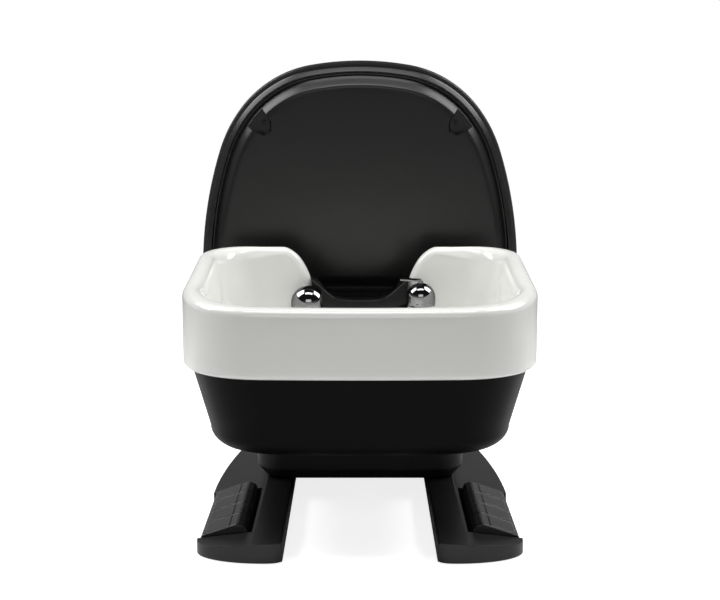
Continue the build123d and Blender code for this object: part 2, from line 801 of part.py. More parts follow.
def housing_solid(shrink):
    """Housing form: narrower at the bottom, with a round bottom edge."""
    edge = housing_edge_radius - shrink / 2
    faces = []
    for step in range(edge_steps + 1):
        angle = math.pi / 2 * step / edge_steps
        inset = housing_low_inset + shrink + edge * (1 - math.sin(angle))
        back = housing_inset + shrink + edge * (1 - math.sin(angle))
        face = bowl_plan(inset, inset, back, housing_corner_radius)
        faces.append(Pos(0, 0, housing_bottom_z + shrink + edge * (1 - math.cos(angle))) * face)
    inset = housing_inset + shrink
    top_z = skirt_z - resting_gap if shrink == 0 else skirt_z + overrun
    faces.append(Pos(0, 0, top_z) * bowl_plan(inset, inset, shrink + moulding_wall, housing_corner_radius))
    return loft(faces, ruled=True)


def make_bowl_housing():
    """Open-topped black tub that hides the basin, the bracket and the trap."""
    tub = housing_solid(0) - housing_solid(moulding_wall)
    gap = pipe_hole_gap
    post_front = bracket_post_y - bracket_post_depth / 2
    for side in (-1, 1):
        x = side * bracket_arm_x
        half = bracket_arm_width / 2 + gap
        below = housing_bottom_z - overrun
        above = housing_bottom_z + moulding_wall + overrun
        depth = (post_front - gap, bowl_depth)
        tub -= block((x - half, x + half), depth, (below, above + housing_edge_radius))
    hole = waste_radius + gap
    below = (0, waste_drop_y, housing_bottom_z - overrun)
    return tub - bar(hole, below, (0, waste_drop_y, waste_level_z))


def make_bowl_bracket():
    """Two posts on the pedestal deck with arms that reach under the basin, and a tie between them."""
    top_z = tub_bottom_z - pad_height - 2 * resting_gap
    arm_z = (top_z - bracket_arm_height, top_z)
    half = bracket_arm_width / 2
    post_y = (bracket_post_y - bracket_post_depth / 2, bracket_post_y + bracket_post_depth / 2)
    arm_y = (bracket_front_y, post_y[1])
    x = (bracket_arm_x - half, bracket_arm_x + half)
    side = block(x, arm_y, arm_z) + block(x, post_y, (frame_deck_z + resting_gap, top_z))
    inside_x = (x[0] + moulding_wall, x[1] - moulding_wall)
    inside_z = (arm_z[0] + moulding_wall, arm_z[1] - moulding_wall)
    side -= block(inside_x, (arm_y[0] - overrun, post_y[0] - moulding_wall), inside_z)
    tie_y = (pad_rows_y[0], pad_rows_y[0] + bracket_arm_width)
    tie = block((-bracket_arm_x, bracket_arm_x), tie_y, arm_z)
    return side + mirror(side, Plane.YZ) + tie


def make_bowl_pads():
    """Four rubber discs between the bracket arms and the basin."""
    low = tub_bottom_z - pad_height - resting_gap
    pads = []
    for y in pad_rows_y:
        disc = bar(pad_radius, (bracket_arm_x, y, low), (bracket_arm_x, y, low + pad_height))
        pads += both_sides(disc)
    return pads


def pedestal_plan(inset, back_y):
    """Rounded rectangle with its front face at the pedestal's front."""
    half = pedestal_half_width - inset
    front = pedestal_front_y + inset
    centre_y = (front + back_y - inset) / 2
    shape = RectangleRounded(2 * half, back_y - inset - front, pedestal_corner_radius - inset)
    return Pos(0, centre_y) * shape


def pedestal_solid(shrink):
    """Pedestal form with its bevelled lower edge."""
    low_z = leg_height + resting_gap - (overrun if shrink else 0)
    mid_z = leg_height + pedestal_bevel_height
    low = pedestal_plan(pedestal_bevel_width + shrink, pedestal_back_y)
    full = pedestal_plan(shrink, pedestal_back_y)
    bevel = loft([Pos(0, 0, low_z) * low, Pos(0, 0, mid_z) * full], ruled=True)
    return bevel + raise_face(full, (mid_z, pedestal_top_z - shrink))


def make_pedestal_cover():
    """Moulded skirt round the pedestal frame, open below and windowed above for the slide."""
    cover = pedestal_solid(0)
    cover = fillet(cover.faces().sort_by(Axis.Z)[-1].edges(), moulding_wall)
    cover -= pedestal_solid(moulding_wall)
    window = pedestal_window_half
    top = (pedestal_top_z - moulding_wall - overrun, pedestal_top_z + overrun)
    cover -= block((-window, window), (pedestal_window_y, frame_back_y), top)
    half = bracket_arm_width / 2 + moving_gap
    deep = bracket_post_depth / 2 + moving_gap
    for x in (-bracket_arm_x, bracket_arm_x):
        cover -= block((x - half, x + half), (bracket_post_y - deep, bracket_post_y + deep), top)
    cover -= bar(waste_radius + pipe_hole_gap, (0, waste_drop_y, top[0]), (0, waste_drop_y, top[1]))
    for x in (-pedestal_screw_x, pedestal_screw_x):
        start = (x, pedestal_front_y - overrun, pedestal_screw_z)
        end = (x, pedestal_front_y + moulding_wall + overrun, pedestal_screw_z)
        cover -= bar(screw_shank_radius + running_clearance, start, end)
    return cover


def make_pedestal_screws():
    """Two dome-headed screws in the pedestal's front face."""
    screws = []
    z = pedestal_screw_z
    face_y = pedestal_front_y - resting_gap / 3
    tip_y = pedestal_front_y + moulding_wall + screw_head_radius
    for x in (-pedestal_screw_x, pedestal_screw_x):
        head = bar(screw_head_radius, (x, face_y - screw_head_height / 2, z), (x, face_y, z))
        shank = bar(screw_shank_radius, (x, face_y - resting_gap / 3, z), (x, tip_y, z))
        screws.append(head + shank)
    return screws


def make_pedestal_frame():
    """Steel foot plate, six posts, a deck that reaches forward under the bowl, and two slide webs."""
    half = frame_half_width
    foot_z = (frame_foot_z, frame_foot_z + plate_thickness)
    deck_z_span = (frame_deck_z - plate_thickness, frame_deck_z)
    foot_half = leg_inner_x - moving_gap
    frame = block((-foot_half, foot_half), (frame_foot_y, frame_back_y), foot_z)
    for y in cross_beam_rows_y:
        for x in (-floor_bolt_x, floor_bolt_x):
            at_y = y + cross_beam_depth / 2
            frame -= bar(floor_bolt_radius, (x, at_y, foot_z[0] - overrun), (x, at_y, foot_z[1] + overrun))
    frame += block((-half, half), (frame_deck_front_y, frame_back_y), deck_z_span)
    post = frame_post_side / 2
    for y in frame_post_rows_y:
        for x in (-frame_post_x, frame_post_x):
            frame += block((x - post, x + post), (y - post, y + post), (foot_z[0], deck_z_span[1]))
    rail_end_y = rail_start_y + rail_length
    web = block((rail_web_x, rail_web_x + rail_web_thickness), (rail_start_y, min(rail_end_y, frame_back_y)),
                (deck_z_span[0], rail_top_z))
    frame += web
    frame += mirror(web, Plane.YZ)
    frame -= bar(waste_radius + pipe_hole_gap, (0, waste_drop_y, deck_z_span[0] - overrun),
                 (0, waste_drop_y, deck_z_span[1] + overrun))
    return frame


def rail_channel(inner_x, height, y_span):
    """Channel member with its open side outwards."""
    z = (rail_mid_z - height / 2, rail_mid_z + height / 2)
    x = (inner_x, inner_x + rail_depth)
    solid = block(x, y_span, z)
    return solid - block((x[0] + rail_wall, x[1] + overrun), (y_span[0] - overrun, y_span[1] + overrun),
                         (z[0] + rail_wall, z[1] - rail_wall))


def rail_member(number):
    """Fixed, middle or inner member of the right slide, each nested in the one before."""
    height = rail_height - number * 2 * (rail_wall + rail_play)
    inner_x = rail_web_x + rail_web_thickness + resting_gap + number * rail_step
    y_span = (rail_start_y, rail_start_y + rail_length)
    if number < 2:
        return rail_channel(inner_x, height, y_span)
    z = (rail_mid_z - height / 2, rail_mid_z + height / 2)
    return block((inner_x, inner_x + rail_depth), y_span, z)


def make_slide_cover():
    """Cap over the slide actuator between the two webs, open at its far end and below."""
    half = slide_cover_half
    wall = moulding_wall
    y = (slide_cover_front_y, slide_cover_back_y)
    z = (pedestal_top_z - moulding_wall, slide_cover_top_z)
    cover = block((-half, half), y, z)
    cover = fillet(cover.edges().filter_by(Axis.Y).group_by(Axis.Z)[-1], moulding_wall * 2)
    along = (y[0] - overrun, y[1] + overrun)
    hollow = block((-half + wall, half - wall), along, (z[0] - overrun, z[1] - wall))
    return cover - hollow


def make_slide_actuator():
    """Tube along the unit with its motor at the front and a foot on the pedestal deck."""
    y = (actuator_front_y, actuator_back_y)
    tube = bar(actuator_tube_radius, (0, y[0], actuator_z), (0, y[1], actuator_z))
    motor_y = y[0] + motor_length
    tube += bar(motor_radius, (motor_offset, y[0], actuator_z), (motor_offset, motor_y, actuator_z))
    gear_z = (actuator_z - motor_radius / 2, actuator_z + motor_radius / 2)
    tube += block((0, motor_offset), (y[0], y[0] + motor_length / 2), gear_z)
    bore = slide_rod_radius + running_clearance
    tube -= bar(bore, (0, slide_rod_start_y - moving_gap, actuator_z), (0, y[1] + overrun, actuator_z))
    foot = actuator_tube_radius
    inner = slide_cover_half - moulding_wall - moving_gap
    for at in (y[1] - foot * 2, y[0] + motor_length + foot):
        far = at + plate_thickness
        saddle = block((-inner, inner), (at, far), (frame_deck_z + resting_gap, actuator_z))
        tube += saddle - bar(bore, (0, at - overrun, actuator_z), (0, far + overrun, actuator_z))
    return tube


def make_slide_rod():
    """Rod that pushes the chair along the slides, with a nut on each side of the chair's bracket."""
    end_y = rod_bracket_y + rod_bracket_thickness + plate_thickness + resting_gap
    rod = bar(slide_rod_radius, (0, slide_rod_start_y, actuator_z), (0, end_y, actuator_z))
    nut_y = rod_bracket_y + rod_bracket_thickness + resting_gap
    return rod + bar(slide_rod_radius + moulding_wall, (0, nut_y, actuator_z), (0, end_y, actuator_z))


def leg_nose(inner, outer, front):
    """Points round the leg's nose: half of one quarter oval at the inner corner, then a larger one."""
    tip_x = inner + leg_nose_tip_share * (outer - inner)
    corner_rise = leg_nose_corner_share * leg_nose_depth
    half_way = math.sqrt(1 / 2)
    points = [
        (inner, front + corner_rise),
        (tip_x - (tip_x - inner) * half_way, front + corner_rise * (1 - half_way)),
        (tip_x, front),
    ]
    for turn in leg_nose_turns:
        angle = math.radians(turn)
        x = tip_x + (outer - tip_x) * math.sin(angle)
        points.append((x, front + leg_nose_depth * (1 - math.cos(angle))))
    return points


def leg_plan(shrink):
    """Plan of the right leg cover: round nose, straight side, and a tail that draws in to the pedestal."""
    inner = leg_inner_x + shrink
    outer = leg_outer_x - shrink
    front = leg_front_y + shrink
    back = leg_back_y - shrink
    nose = Spline(*leg_nose(inner, outer, front))
    side = Line(nose @ 1, (outer, leg_straight_y))
    length = back - leg_straight_y
    end_x = outer - (leg_outer_x - leg_back_x)
    tail_reach = leg_tail_end_share * length
    tail = Bezier(
        (outer, leg_straight_y),
        (outer, leg_straight_y + leg_tail_start_share * length),
        (end_x + leg_tail_lean * tail_reach, back - tail_reach),
        (end_x, back),
    )
    end = Line(tail @ 1, (inner, back))
    inside = Line(end @ 1, nose @ 0)
    return make_face(nose + side + tail + end + inside)


def leg_solid(shrink):
    """Leg form: flat inner strip, a crease, and a top that slopes down outwards."""
    low_z = leg_floor_gap if shrink == 0 else leg_floor_gap - overrun
    solid = raise_face(leg_plan(shrink), (low_z, leg_height - shrink))
    reach = leg_outer_x + overrun
    fall = (reach - leg_crease_x) * math.tan(math.radians(leg_slope))
    start_z = leg_height - leg_crease_step - shrink
    points = [
        (leg_crease_x, start_z),
        (reach, start_z - fall),
        (reach, leg_height + overrun),
        (leg_crease_x, leg_height + overrun),
    ]
    slope = prism_along_y(Polygon(*points, align=None), (leg_front_y - overrun, leg_back_y + overrun))
    return solid - slope


def recess_block(grow):
    """Space for the four pedals, open at the leg's outer side."""
    y0 = pedal_first_y - recess_end_gap - grow
    y1 = pedal_first_y + pedal_count * pedal_pitch + recess_end_gap + grow
    x = (recess_inner_x - grow, leg_outer_x + overrun)
    return block(x, (y0, y1), (recess_floor_z - grow, leg_height + overrun))


def pedal_shaft_bar(radius, beyond):
    """Round bar along the right leg's pedal shaft, from wall to wall and a little beyond."""
    start = pedal_first_y - recess_end_gap - leg_wall - beyond
    end = pedal_first_y + pedal_count * pedal_pitch + recess_end_gap + leg_wall + beyond
    return bar(radius, (pedal_shaft_x, start, pedal_shaft_z), (pedal_shaft_x, end, pedal_shaft_z))


def make_leg_cover():
    """Moulded cover of the right leg: hollow below, recessed for the pedals."""
    cover = leg_solid(0)
    top_band = (leg_height - moving_gap / 2, leg_height + moving_gap / 2)
    top_edges = cover.edges().filter_by_position(Axis.Z, *top_band)
    inner_edge = top_edges.filter_by(Axis.Y).sort_by(Axis.X)[0]
    cover = fillet(inner_edge, leg_edge_radius)
    cover -= recess_block(0)
    inside = leg_solid(leg_wall) - recess_block(leg_wall / 2)
    cover -= inside
    passage = (cross_beam_rows_y[0] - moving_gap, leg_back_y + overrun)
    cover -= block((leg_inner_x - overrun, leg_inner_x + leg_wall + overrun), passage,
                   (leg_floor_gap - overrun, frame_foot_z + moving_gap))
    cover -= block((leg_inner_x - overrun, beam_x + beam_width / 2 + moving_gap),
                   (leg_back_y - leg_wall - overrun, leg_back_y + overrun),
                   (leg_floor_gap - overrun, frame_foot_z + moving_gap))
    return cover - pedal_shaft_bar(pedal_shaft_radius + running_clearance, overrun)


def make_pedal_shaft():
    """Round shaft that the four pedals of the right leg rock on."""
    return pedal_shaft_bar(pedal_shaft_radius, 0)


def pedal_slope_z(x):
    """Height of the pedal's sloped top at x."""
    share = (x - pedal_crest_x) / (pedal_outer_x - pedal_crest_x)
    return pedal_crest_z + share * (pedal_tip_z - pedal_crest_z)


def make_pedal(number):
    """Wedge-shaped pedal of the right leg, hollow below, with a ribbed tread on its slope."""
    gap = moving_gap / 2
    y0 = pedal_first_y + number * pedal_pitch + gap
    y1 = y0 + pedal_pitch - 2 * gap
    outline = [
        (pedal_inner_x, pedal_under_z),
        (pedal_inner_x, pedal_shaft_z),
        (pedal_shoulder_x, pedal_shoulder_z),
        (pedal_crest_x, pedal_crest_z),
        (pedal_outer_x, pedal_tip_z),
        (pedal_outer_x, pedal_under_z),
    ]
    wedge = prism_along_y(Polygon(*outline, align=None), (y0, y1))
    crest_at = (pedal_crest_x, (y0 + y1) / 2, pedal_crest_z)
    crest = wedge.edges().filter_by(Axis.Y).sort_by_distance(crest_at)[0]
    wedge = fillet(crest, pedal_edge_radius * 2)
    shoulder_at = (pedal_shoulder_x, (y0 + y1) / 2, pedal_shoulder_z)
    shoulder = wedge.edges().filter_by(Axis.Y).sort_by_distance(shoulder_at)[0]
    wedge = fillet(shoulder, pedal_edge_radius * 2)
    pocket_x = pedal_shaft_x + pedal_shaft_radius + pedal_skin
    pocket_end = pedal_outer_x - pedal_skin
    pocket = [
        (pocket_x, pedal_under_z - overrun),
        (pocket_x, pedal_slope_z(pedal_crest_x) - 2 * pedal_skin),
        (pedal_crest_x, pedal_slope_z(pedal_crest_x) - 2 * pedal_skin),
        (pocket_end, pedal_slope_z(pocket_end) - pedal_skin),
        (pocket_end, pedal_under_z - overrun),
    ]
    wedge -= prism_along_y(Polygon(*pocket, align=None), (y0 + pedal_skin, y1 - pedal_skin))
    wedge -= pedal_shaft_bar(pedal_shaft_radius + running_clearance, overrun)
    count = int((tread_outer_x - tread_inner_x) / tread_pitch)
    for rib in range(count):
        x = tread_inner_x + (rib + 0.5) * (tread_outer_x - tread_inner_x) / count
        half = tread_rib_width / 2
        face = Polygon(
            (x - half, pedal_slope_z(x - half) - tread_height),
            (x - half, pedal_slope_z(x - half) + tread_height),
            (x + half, pedal_slope_z(x + half) + tread_height),
            (x + half, pedal_slope_z(x + half) - tread_height),
            align=None,
        )
        wedge += prism_along_y(face, (y0 + tread_margin, y1 - tread_margin))
    return wedge


def make_pedal_switches():
    """A sealed switch with a plunger on the recess floor under each pedal of the right leg."""
    switches = []
    for number in range(pedal_count):
        y = pedal_first_y + (number + 0.5) * pedal_pitch
        z = recess_floor_z + resting_gap
        x = (switch_x - switch_width / 2, switch_x + switch_width / 2)
        body = block(x, (y - switch_length / 2, y + switch_length / 2), (z, z + switch_height))
        travel = (pedal_outer_x - pedal_shaft_x) * math.tan(math.radians(pedal_travel))
        plunger_z = pedal_slope_z(switch_x) - pedal_skin - travel
        switches.append(body + bar(plunger_radius, (switch_x, y, z), (switch_x, y, plunger_z - moving_gap)))
    return switches


def make_base_frame():
    """Steel beams inside the legs, with two cross beams bolted to the floor under the pedestal."""
    z = (glide_height, glide_height + beam_height)
    half = beam_width / 2
    beam = block((beam_x - half, beam_x + half), (beam_front_y, beam_back_y), z)
    frame = beam + mirror(beam, Plane.YZ)
    for y in cross_beam_rows_y:
        frame += block((-beam_x, beam_x), (y, y + cross_beam_depth), z)
        for x in (-floor_bolt_x, floor_bolt_x):
            at_y = y + cross_beam_depth / 2
            frame -= bar(floor_bolt_radius, (x, at_y, z[0] - overrun), (x, at_y, z[1] + overrun))
    return frame


def make_foot_pads():
    """Rubber glides under the beams."""
    pads = []
    for y in glide_rows_y:
        disc = bar(glide_radius, (beam_x, y, 0), (beam_x, y, glide_height - resting_gap / 3))
        pads += both_sides(chamfer(disc.edges().group_by(Axis.Z)[0], moving_gap))
    return pads


def make_water_inlets():
    """Hot and cold inlet stubs that hang from the pedestal's foot, threaded end down."""
    stubs = []
    for x in (-inlet_x, inlet_x):
        y = waste_outlet_y + (frame_foot_y - waste_outlet_y) / 2
        stub = bar(inlet_radius, (x, y, inlet_end_z), (x, y, inlet_end_z + inlet_length))
        top = inlet_end_z + inlet_length
        stub += bar(inlet_body_radius, (x, y, top), (x, y, top + inlet_body_length))
        ear_x = (x - inlet_body_radius, x + inlet_body_radius)
        ear_z = (frame_foot_z + plate_thickness + resting_gap, top + inlet_body_length / 2)
        ear = block(ear_x, (y, frame_foot_y + inlet_body_radius * 2), ear_z)
        stubs.append(stub + ear)
    return stubs


def make_control_box():
    """Sealed power and control box on the foot plate."""
    z = frame_foot_z + plate_thickness + resting_gap
    box = block((-box_width / 2, box_width / 2), (box_y, box_y + box_depth), (z, z + box_height))
    return fillet(box.edges().filter_by(Axis.Z), moulding_wall)


def make_seat_frame():
    """Side rails with three cross plates, brackets for the two shafts, and the slide rod's bracket."""
    rail_x = rail_web_x + rail_web_thickness + resting_gap + 2 * rail_step + rail_depth + resting_gap
    x = (rail_x, rail_x + seat_rail_width)
    plate_z = (seat_frame_top_z, seat_frame_top_z + plate_thickness)
    rail_z = (rail_mid_z - rail_height / 2, seat_frame_top_z)
    side = block(x, (seat_rail_back_y, seat_front_y), rail_z)
    outer = recline_bracket_x + plate_thickness
    side += block((0, outer), (rear_plate_y, rear_plate_y + rear_plate_depth), plate_z)
    side += block((0, x[1]), (front_plate_y, front_plate_y + front_plate_depth), plate_z)
    hang_start = min(recline_far_y - drive_case_depth, legrest_far_y)
    hang_end = max(recline_far_y, legrest_far_y + drive_case_depth)
    side += block((0, x[1]), (hang_start, hang_end), plate_z)
    eye = recline_shaft_radius + running_clearance + bush_wall + eye_wall
    ear = [
        (recline_y - eye, recline_z),
        (rear_plate_y, plate_z[0]),
        (rear_plate_y + rear_plate_depth, plate_z[0]),
        (rear_plate_y + rear_plate_depth, plate_z[1] + plate_thickness),
        (recline_y + eye, recline_z + eye / 2),
    ]
    ear_x = (recline_bracket_x, outer)
    side += prism_along_x(ear, ear_x)
    side += bar(eye, (ear_x[0], recline_y, recline_z), (ear_x[1], recline_y, recline_z))
    leg_x = (legrest_bracket_x, legrest_bracket_x + legrest_bracket_thickness)
    leg_ear = [
        (seat_front_y - rear_plate_depth, rail_z[1] - overrun),
        (seat_front_y, rail_z[0] + rail_height / 2),
        (legrest_y + legrest_eye / 2, legrest_z - legrest_eye / 2),
        (legrest_y - legrest_eye, legrest_z),
        (seat_front_y + moving_gap, plate_z[0]),
    ]
    side += prism_along_x(leg_ear, leg_x)
    side += bar(legrest_eye, (leg_x[0], legrest_y, legrest_z), (leg_x[1], legrest_y, legrest_z))
    bush = bush_wall + running_clearance
    side -= bar(recline_shaft_radius + bush, (ear_x[0] - overrun, recline_y, recline_z),
                (ear_x[1] + overrun, recline_y, recline_z))
    side -= bar(legrest_shaft_radius + bush, (leg_x[0] - overrun, legrest_y, legrest_z),
                (leg_x[1] + overrun, legrest_y, legrest_z))
    frame = side + mirror(side, Plane.YZ)
    drop_z = (actuator_z - slide_rod_radius - moulding_wall * 2, plate_z[1])
    wide = (-rod_bracket_half, rod_bracket_half)
    hanger_end = rod_bracket_y + rod_bracket_thickness
    hanger = block(wide, (rod_bracket_y, hanger_end), drop_z)
    hanger += block(wide, (front_plate_y, hanger_end), plate_z)
    hanger -= bar(slide_rod_radius + running_clearance, (0, rod_bracket_y - overrun, actuator_z),
                  (0, hanger_end + overrun, actuator_z))
    return frame + hanger


def make_hinge_bushes():
    """Flanged bushes that line the four shaft eyes."""
    bushes = []
    hinges = (
        (recline_shaft_radius, recline_bracket_x, plate_thickness, recline_y, recline_z),
        (legrest_shaft_radius, legrest_bracket_x, legrest_bracket_thickness, legrest_y, legrest_z),
    )
    for radius, x, length, y, z in hinges:
        inner = radius + running_clearance
        outer = inner + bush_wall - resting_gap / 3
        bush = bar(outer, (x, y, z), (x + length, y, z))
        bush += bar(outer + bush_flange, (x - bush_flange, y, z), (x - resting_gap / 3, y, z))
        bush += bar(outer, (x - bush_flange, y, z), (x, y, z))
        bush -= bar(inner, (x - bush_flange - overrun, y, z), (x + length + overrun, y, z))
        bushes += both_sides(bush)
    return bushes


def seat_plan(inset):
    """Seat outline with round corners."""
    shape = RectangleRounded(
        2 * (seat_half_width - inset), seat_front_y - seat_back_y - 2 * inset, seat_corner_radius - inset
    )
    return Pos(0, (seat_front_y + seat_back_y) / 2) * shape


def make_seat_pan():
    """Board under the seat cushion, slotted for the two drive levers."""
    pan = raise_face(seat_plan(moulding_wall), (pan_z, pan_z + pan_thickness))
    half = pan_slot_width / 2
    z = (pan_z - overrun, pan_z + pan_thickness + overrun)
    pan -= block((recline_arm_x - half, recline_arm_x + half), (seat_back_y, rear_plate_y), z)
    start = front_plate_y + front_plate_depth
    pan -= block((legrest_arm_x - half, legrest_arm_x + half), (start, seat_front_y), z)
    return pan


def make_seat_cushion():
    """Upholstered seat with round top edges."""
    cushion = raise_face(seat_plan(0), (seat_under_z, seat_top_z))
    cushion = fillet(cushion.faces().sort_by(Axis.Z)[-1].edges(), seat_edge_radius)
    return fillet(cushion.faces().sort_by(Axis.Z)[0].edges(), moulding_wall * 2)


def make_arm_support():
    """Right arm: a post that rises from the rear plate and bends forward under the pad."""
    x = (arm_inner_x, arm_inner_x + arm_thickness)
    post_y = (arm_back_y, arm_back_y + arm_post_depth)
    low_z = seat_frame_top_z
    top_z = arm_top_z
    plate_x = (recline_bracket_x + plate_thickness + resting_gap, x[1])
    plate_y = (arm_back_y, rear_plate_y + rear_plate_depth)
    plate = block(plate_x, plate_y, (low_z, low_z + plate_thickness))
    outline = [
        (post_y[0], low_z),
        (post_y[1], low_z),
        (post_y[1], top_z - arm_beam_height),
        (arm_front_y - arm_bend_radius, top_z - arm_beam_height),
        (arm_front_y - arm_bend_radius, top_z),
        (post_y[0], top_z),
    ]
    arm = prism_along_x(outline, x)
    bend = arm.edges().filter_by(Axis.X).sort_by_distance((x[0], post_y[1], top_z - arm_beam_height))[0]
    arm = fillet(bend, arm_bend_radius)
    return arm + plate


def make_arm_pad():
    """Soft pad on the right arm."""
    middle = arm_inner_x + arm_thickness / 2
    x = (middle - arm_pad_width / 2, middle + arm_pad_width / 2)
    z = (arm_top_z + resting_gap, arm_top_z + arm_pad_height)
    pad = block(x, (arm_back_y, arm_front_y), z)
    pad = fillet(pad.edges().filter_by(Axis.Z), arm_pad_width / 3)
    return fillet(pad.faces().sort_by(Axis.Z)[-1].edges(), arm_pad_edge_radius)


back_fall = nose_fall(back_half_width, back_dome_radius_shares, back_dome_turns)
back_rise = back_fall + back_straight + back_corner_radius - back_drop
pocket_rise = back_rise - pocket_drop
back_frame_rise = back_rise - back_frame_drop


def back_plan(inset):
    """Back outline in its own plane: a squared dome above straight sides and round lower corners."""
    half = back_half_width - inset
    top = back_rise - inset
    drop = back_drop - inset
    corner = back_corner_radius - inset / 2
    radii = [share * half for share in back_dome_radius_shares]
    last, fall = nose_drop(half, radii, back_dome_turns)
    dome = nose_arcs((-half, top - fall), (0, 1), radii, back_dome_turns, last, -1)
    right = Line((half, top - fall), (half, corner - drop))
    right_corner = JernArc(right @ 1, (0, -1), corner, -90)
    under = Line(right_corner @ 1, (corner - half, -drop))
    left_corner = JernArc(under @ 1, (-1, 0), corner, -90)
    left = Line(left_corner @ 1, (-half, top - fall))
    return make_face(dome + right + right_corner + under + left_corner + left)


def back_layer(inset, low, high):
    """Slab of the back outline between two depths, in the back's own plane."""
    return raise_face(back_plan(inset), (low, high))


def back_taper(low_inset, low, high_inset, high):
    """Slab whose outline narrows from one depth to another."""
    return loft([Pos(0, 0, low) * back_plan(low_inset), Pos(0, 0, high) * back_plan(high_inset)], ruled=True)


def pocket_face():
    """Outline of the right screw pocket, about the screw."""
    points = []
    for across, up in zip(pocket_width_shares, pocket_rise_shares):
        points.append((pocket_x - across * pocket_span, pocket_rise + up * pocket_span))
    return Polygon(*points, align=None)


def make_back_shell():
    """Moulded rear shell: bead round the edge, groove, sloped band and raised panel."""
    shell = back_layer(shell_inset, -shell_back_depth, bead_height)
    shell = fillet(shell.faces().sort_by(Axis.Z)[-1].edges(), bead_radius)
    groove_outer = shell_inset + groove_inset
    slope_foot = groove_outer + groove_width
    groove = back_layer(groove_outer, 0, bead_height + overrun)
    shell -= groove
    shell += back_taper(slope_foot, -bead_height, slope_foot + slope_width, panel_height)
    wall = shell_wall
    shell -= back_taper(slope_foot + wall, -shell_back_depth - overrun, slope_foot + slope_width + wall,
                        panel_height - wall)
    for side in (-1, 1):
        face = pocket_face() if side > 0 else mirror(pocket_face(), Plane.YZ)
        cup = offset(face, amount=wall)
        shell += raise_face(cup, (pocket_floor - wall, panel_height - wall))
        boss_foot = -shell_back_depth
        high = (side * pocket_x, pocket_rise)
        shell += bar(boss_radius, (*high, boss_foot), (*high, pocket_floor))
        low = (side * back_frame_x, -low_screw_drop)
        shell += bar(boss_radius, (*low, boss_foot), (*low, panel_height - wall))
        shell -= raise_face(face, (pocket_floor, panel_height + overrun))
        hole = screw_shank_radius + running_clearance
        shell -= bar(hole, (*high, boss_foot - overrun), (*high, panel_height))
        shell -= bar(hole, (*low, boss_foot - overrun), (*low, boss_radius - wall))
    return shell


def make_shell_screws():
    """Two screws in the pockets that hold the shell to the frame."""
    screws = []
    for side in (-1, 1):
        at = (side * pocket_x, pocket_rise)
        foot = pocket_floor + resting_gap / 3
        top = foot + screw_head_height
        head = bar(screw_head_radius, (*at, foot), (*at, top))
        shank = bar(screw_shank_radius, (*at, -shell_back_depth - tube_side / 2), (*at, top))
        screws.append(head + shank)
    return screws


def recline_local():
    """Place of the recline axis in the back's own plane, as (rise, depth)."""
    lean = math.radians(back_lean)
    dy = recline_y - back_mid_y
    dz = recline_z - back_mid_z
    rise = -dy * math.sin(lean) + dz * math.cos(lean)
    depth = -dy * math.cos(lean) - dz * math.sin(lean)
    return rise, depth


def drive_lever(bore, x, drop, swing):
    """Lever about the x axis with a slot for a rod's pin, hanging half its swing behind the vertical."""
    reach = drop / math.cos(math.radians(swing / 2))
    wide = lever_plate_width / 2
    thick = plate_thickness / 2
    slot_end = reach + drive_pin_radius + moving_gap
    slot_top = drop - drive_pin_radius - 2 * moving_gap
    plate = block((x - thick, x + thick), (-wide, wide), (-slot_end - eye_wall, 0))
    plate += bar(wide, (x - thick, 0, 0), (x + thick, 0, 0))
    through = (x - plate_thickness, x + plate_thickness)
    plate -= block(through, (-drive_slot_half, drive_slot_half), (-slot_end, -slot_top))
    plate -= bar(bore, (through[0], 0, 0), (through[1], 0, 0))
    return Rot(-swing / 2, 0, 0) * plate


def make_back_frame():
    """Welded tube frame behind the shell, with the drive lever that hangs from the recline shaft."""
    rise, depth = recline_local()
    top = -shell_back_depth - resting_gap
    z = (top - tube_side, top)
    half = tube_side / 2
    tube_x = (back_frame_x - half, back_frame_x + half)
    lug = recline_shaft_radius + eye_wall
    side = block(tube_x, (rise, back_frame_rise), z)
    upright_x = (pocket_x - half, pocket_x + half)
    side += block(upright_x, (back_frame_rise - tube_side, pocket_rise + half), z)
    side += block((0, tube_x[1]), (back_frame_rise - tube_side, back_frame_rise), z)
    side += block((0, upright_x[1]), (pocket_rise - half, pocket_rise + half), z)
    side += block((0, tube_x[0]), (-back_drop + tube_side, -back_drop + 2 * tube_side), z)
    side += bar(lug, (tube_x[0], rise, depth), (tube_x[1], rise, depth))
    side -= bar(recline_shaft_radius, (tube_x[0] - overrun, rise, depth), (tube_x[1] + overrun, rise, depth))
    hole = screw_shank_radius + running_clearance
    side -= bar(hole, (pocket_x, pocket_rise, z[0] - overrun), (pocket_x, pocket_rise, z[1] + overrun))
    frame = back_plane * (side + mirror(side, Plane.YZ))
    lever = drive_lever(recline_shaft_radius, recline_arm_x, lever_drop, back_recline)
    return frame + Pos(0, recline_y, recline_z) * lever


def make_recline_shaft():
    """Cross shaft that the back turns on, welded to the back frame."""
    reach = back_frame_x + tube_side / 2
    return bar(recline_shaft_radius, (-reach, recline_y, recline_z), (reach, recline_y, recline_z))


def make_back_board():
    """Thin board on the frame that carries the back cushion."""
    high = -shell_back_depth - tube_side - 2 * resting_gap
    board = back_layer(back_cushion_wall + moulding_wall, high - back_board_thickness, high)
    return back_plane * board


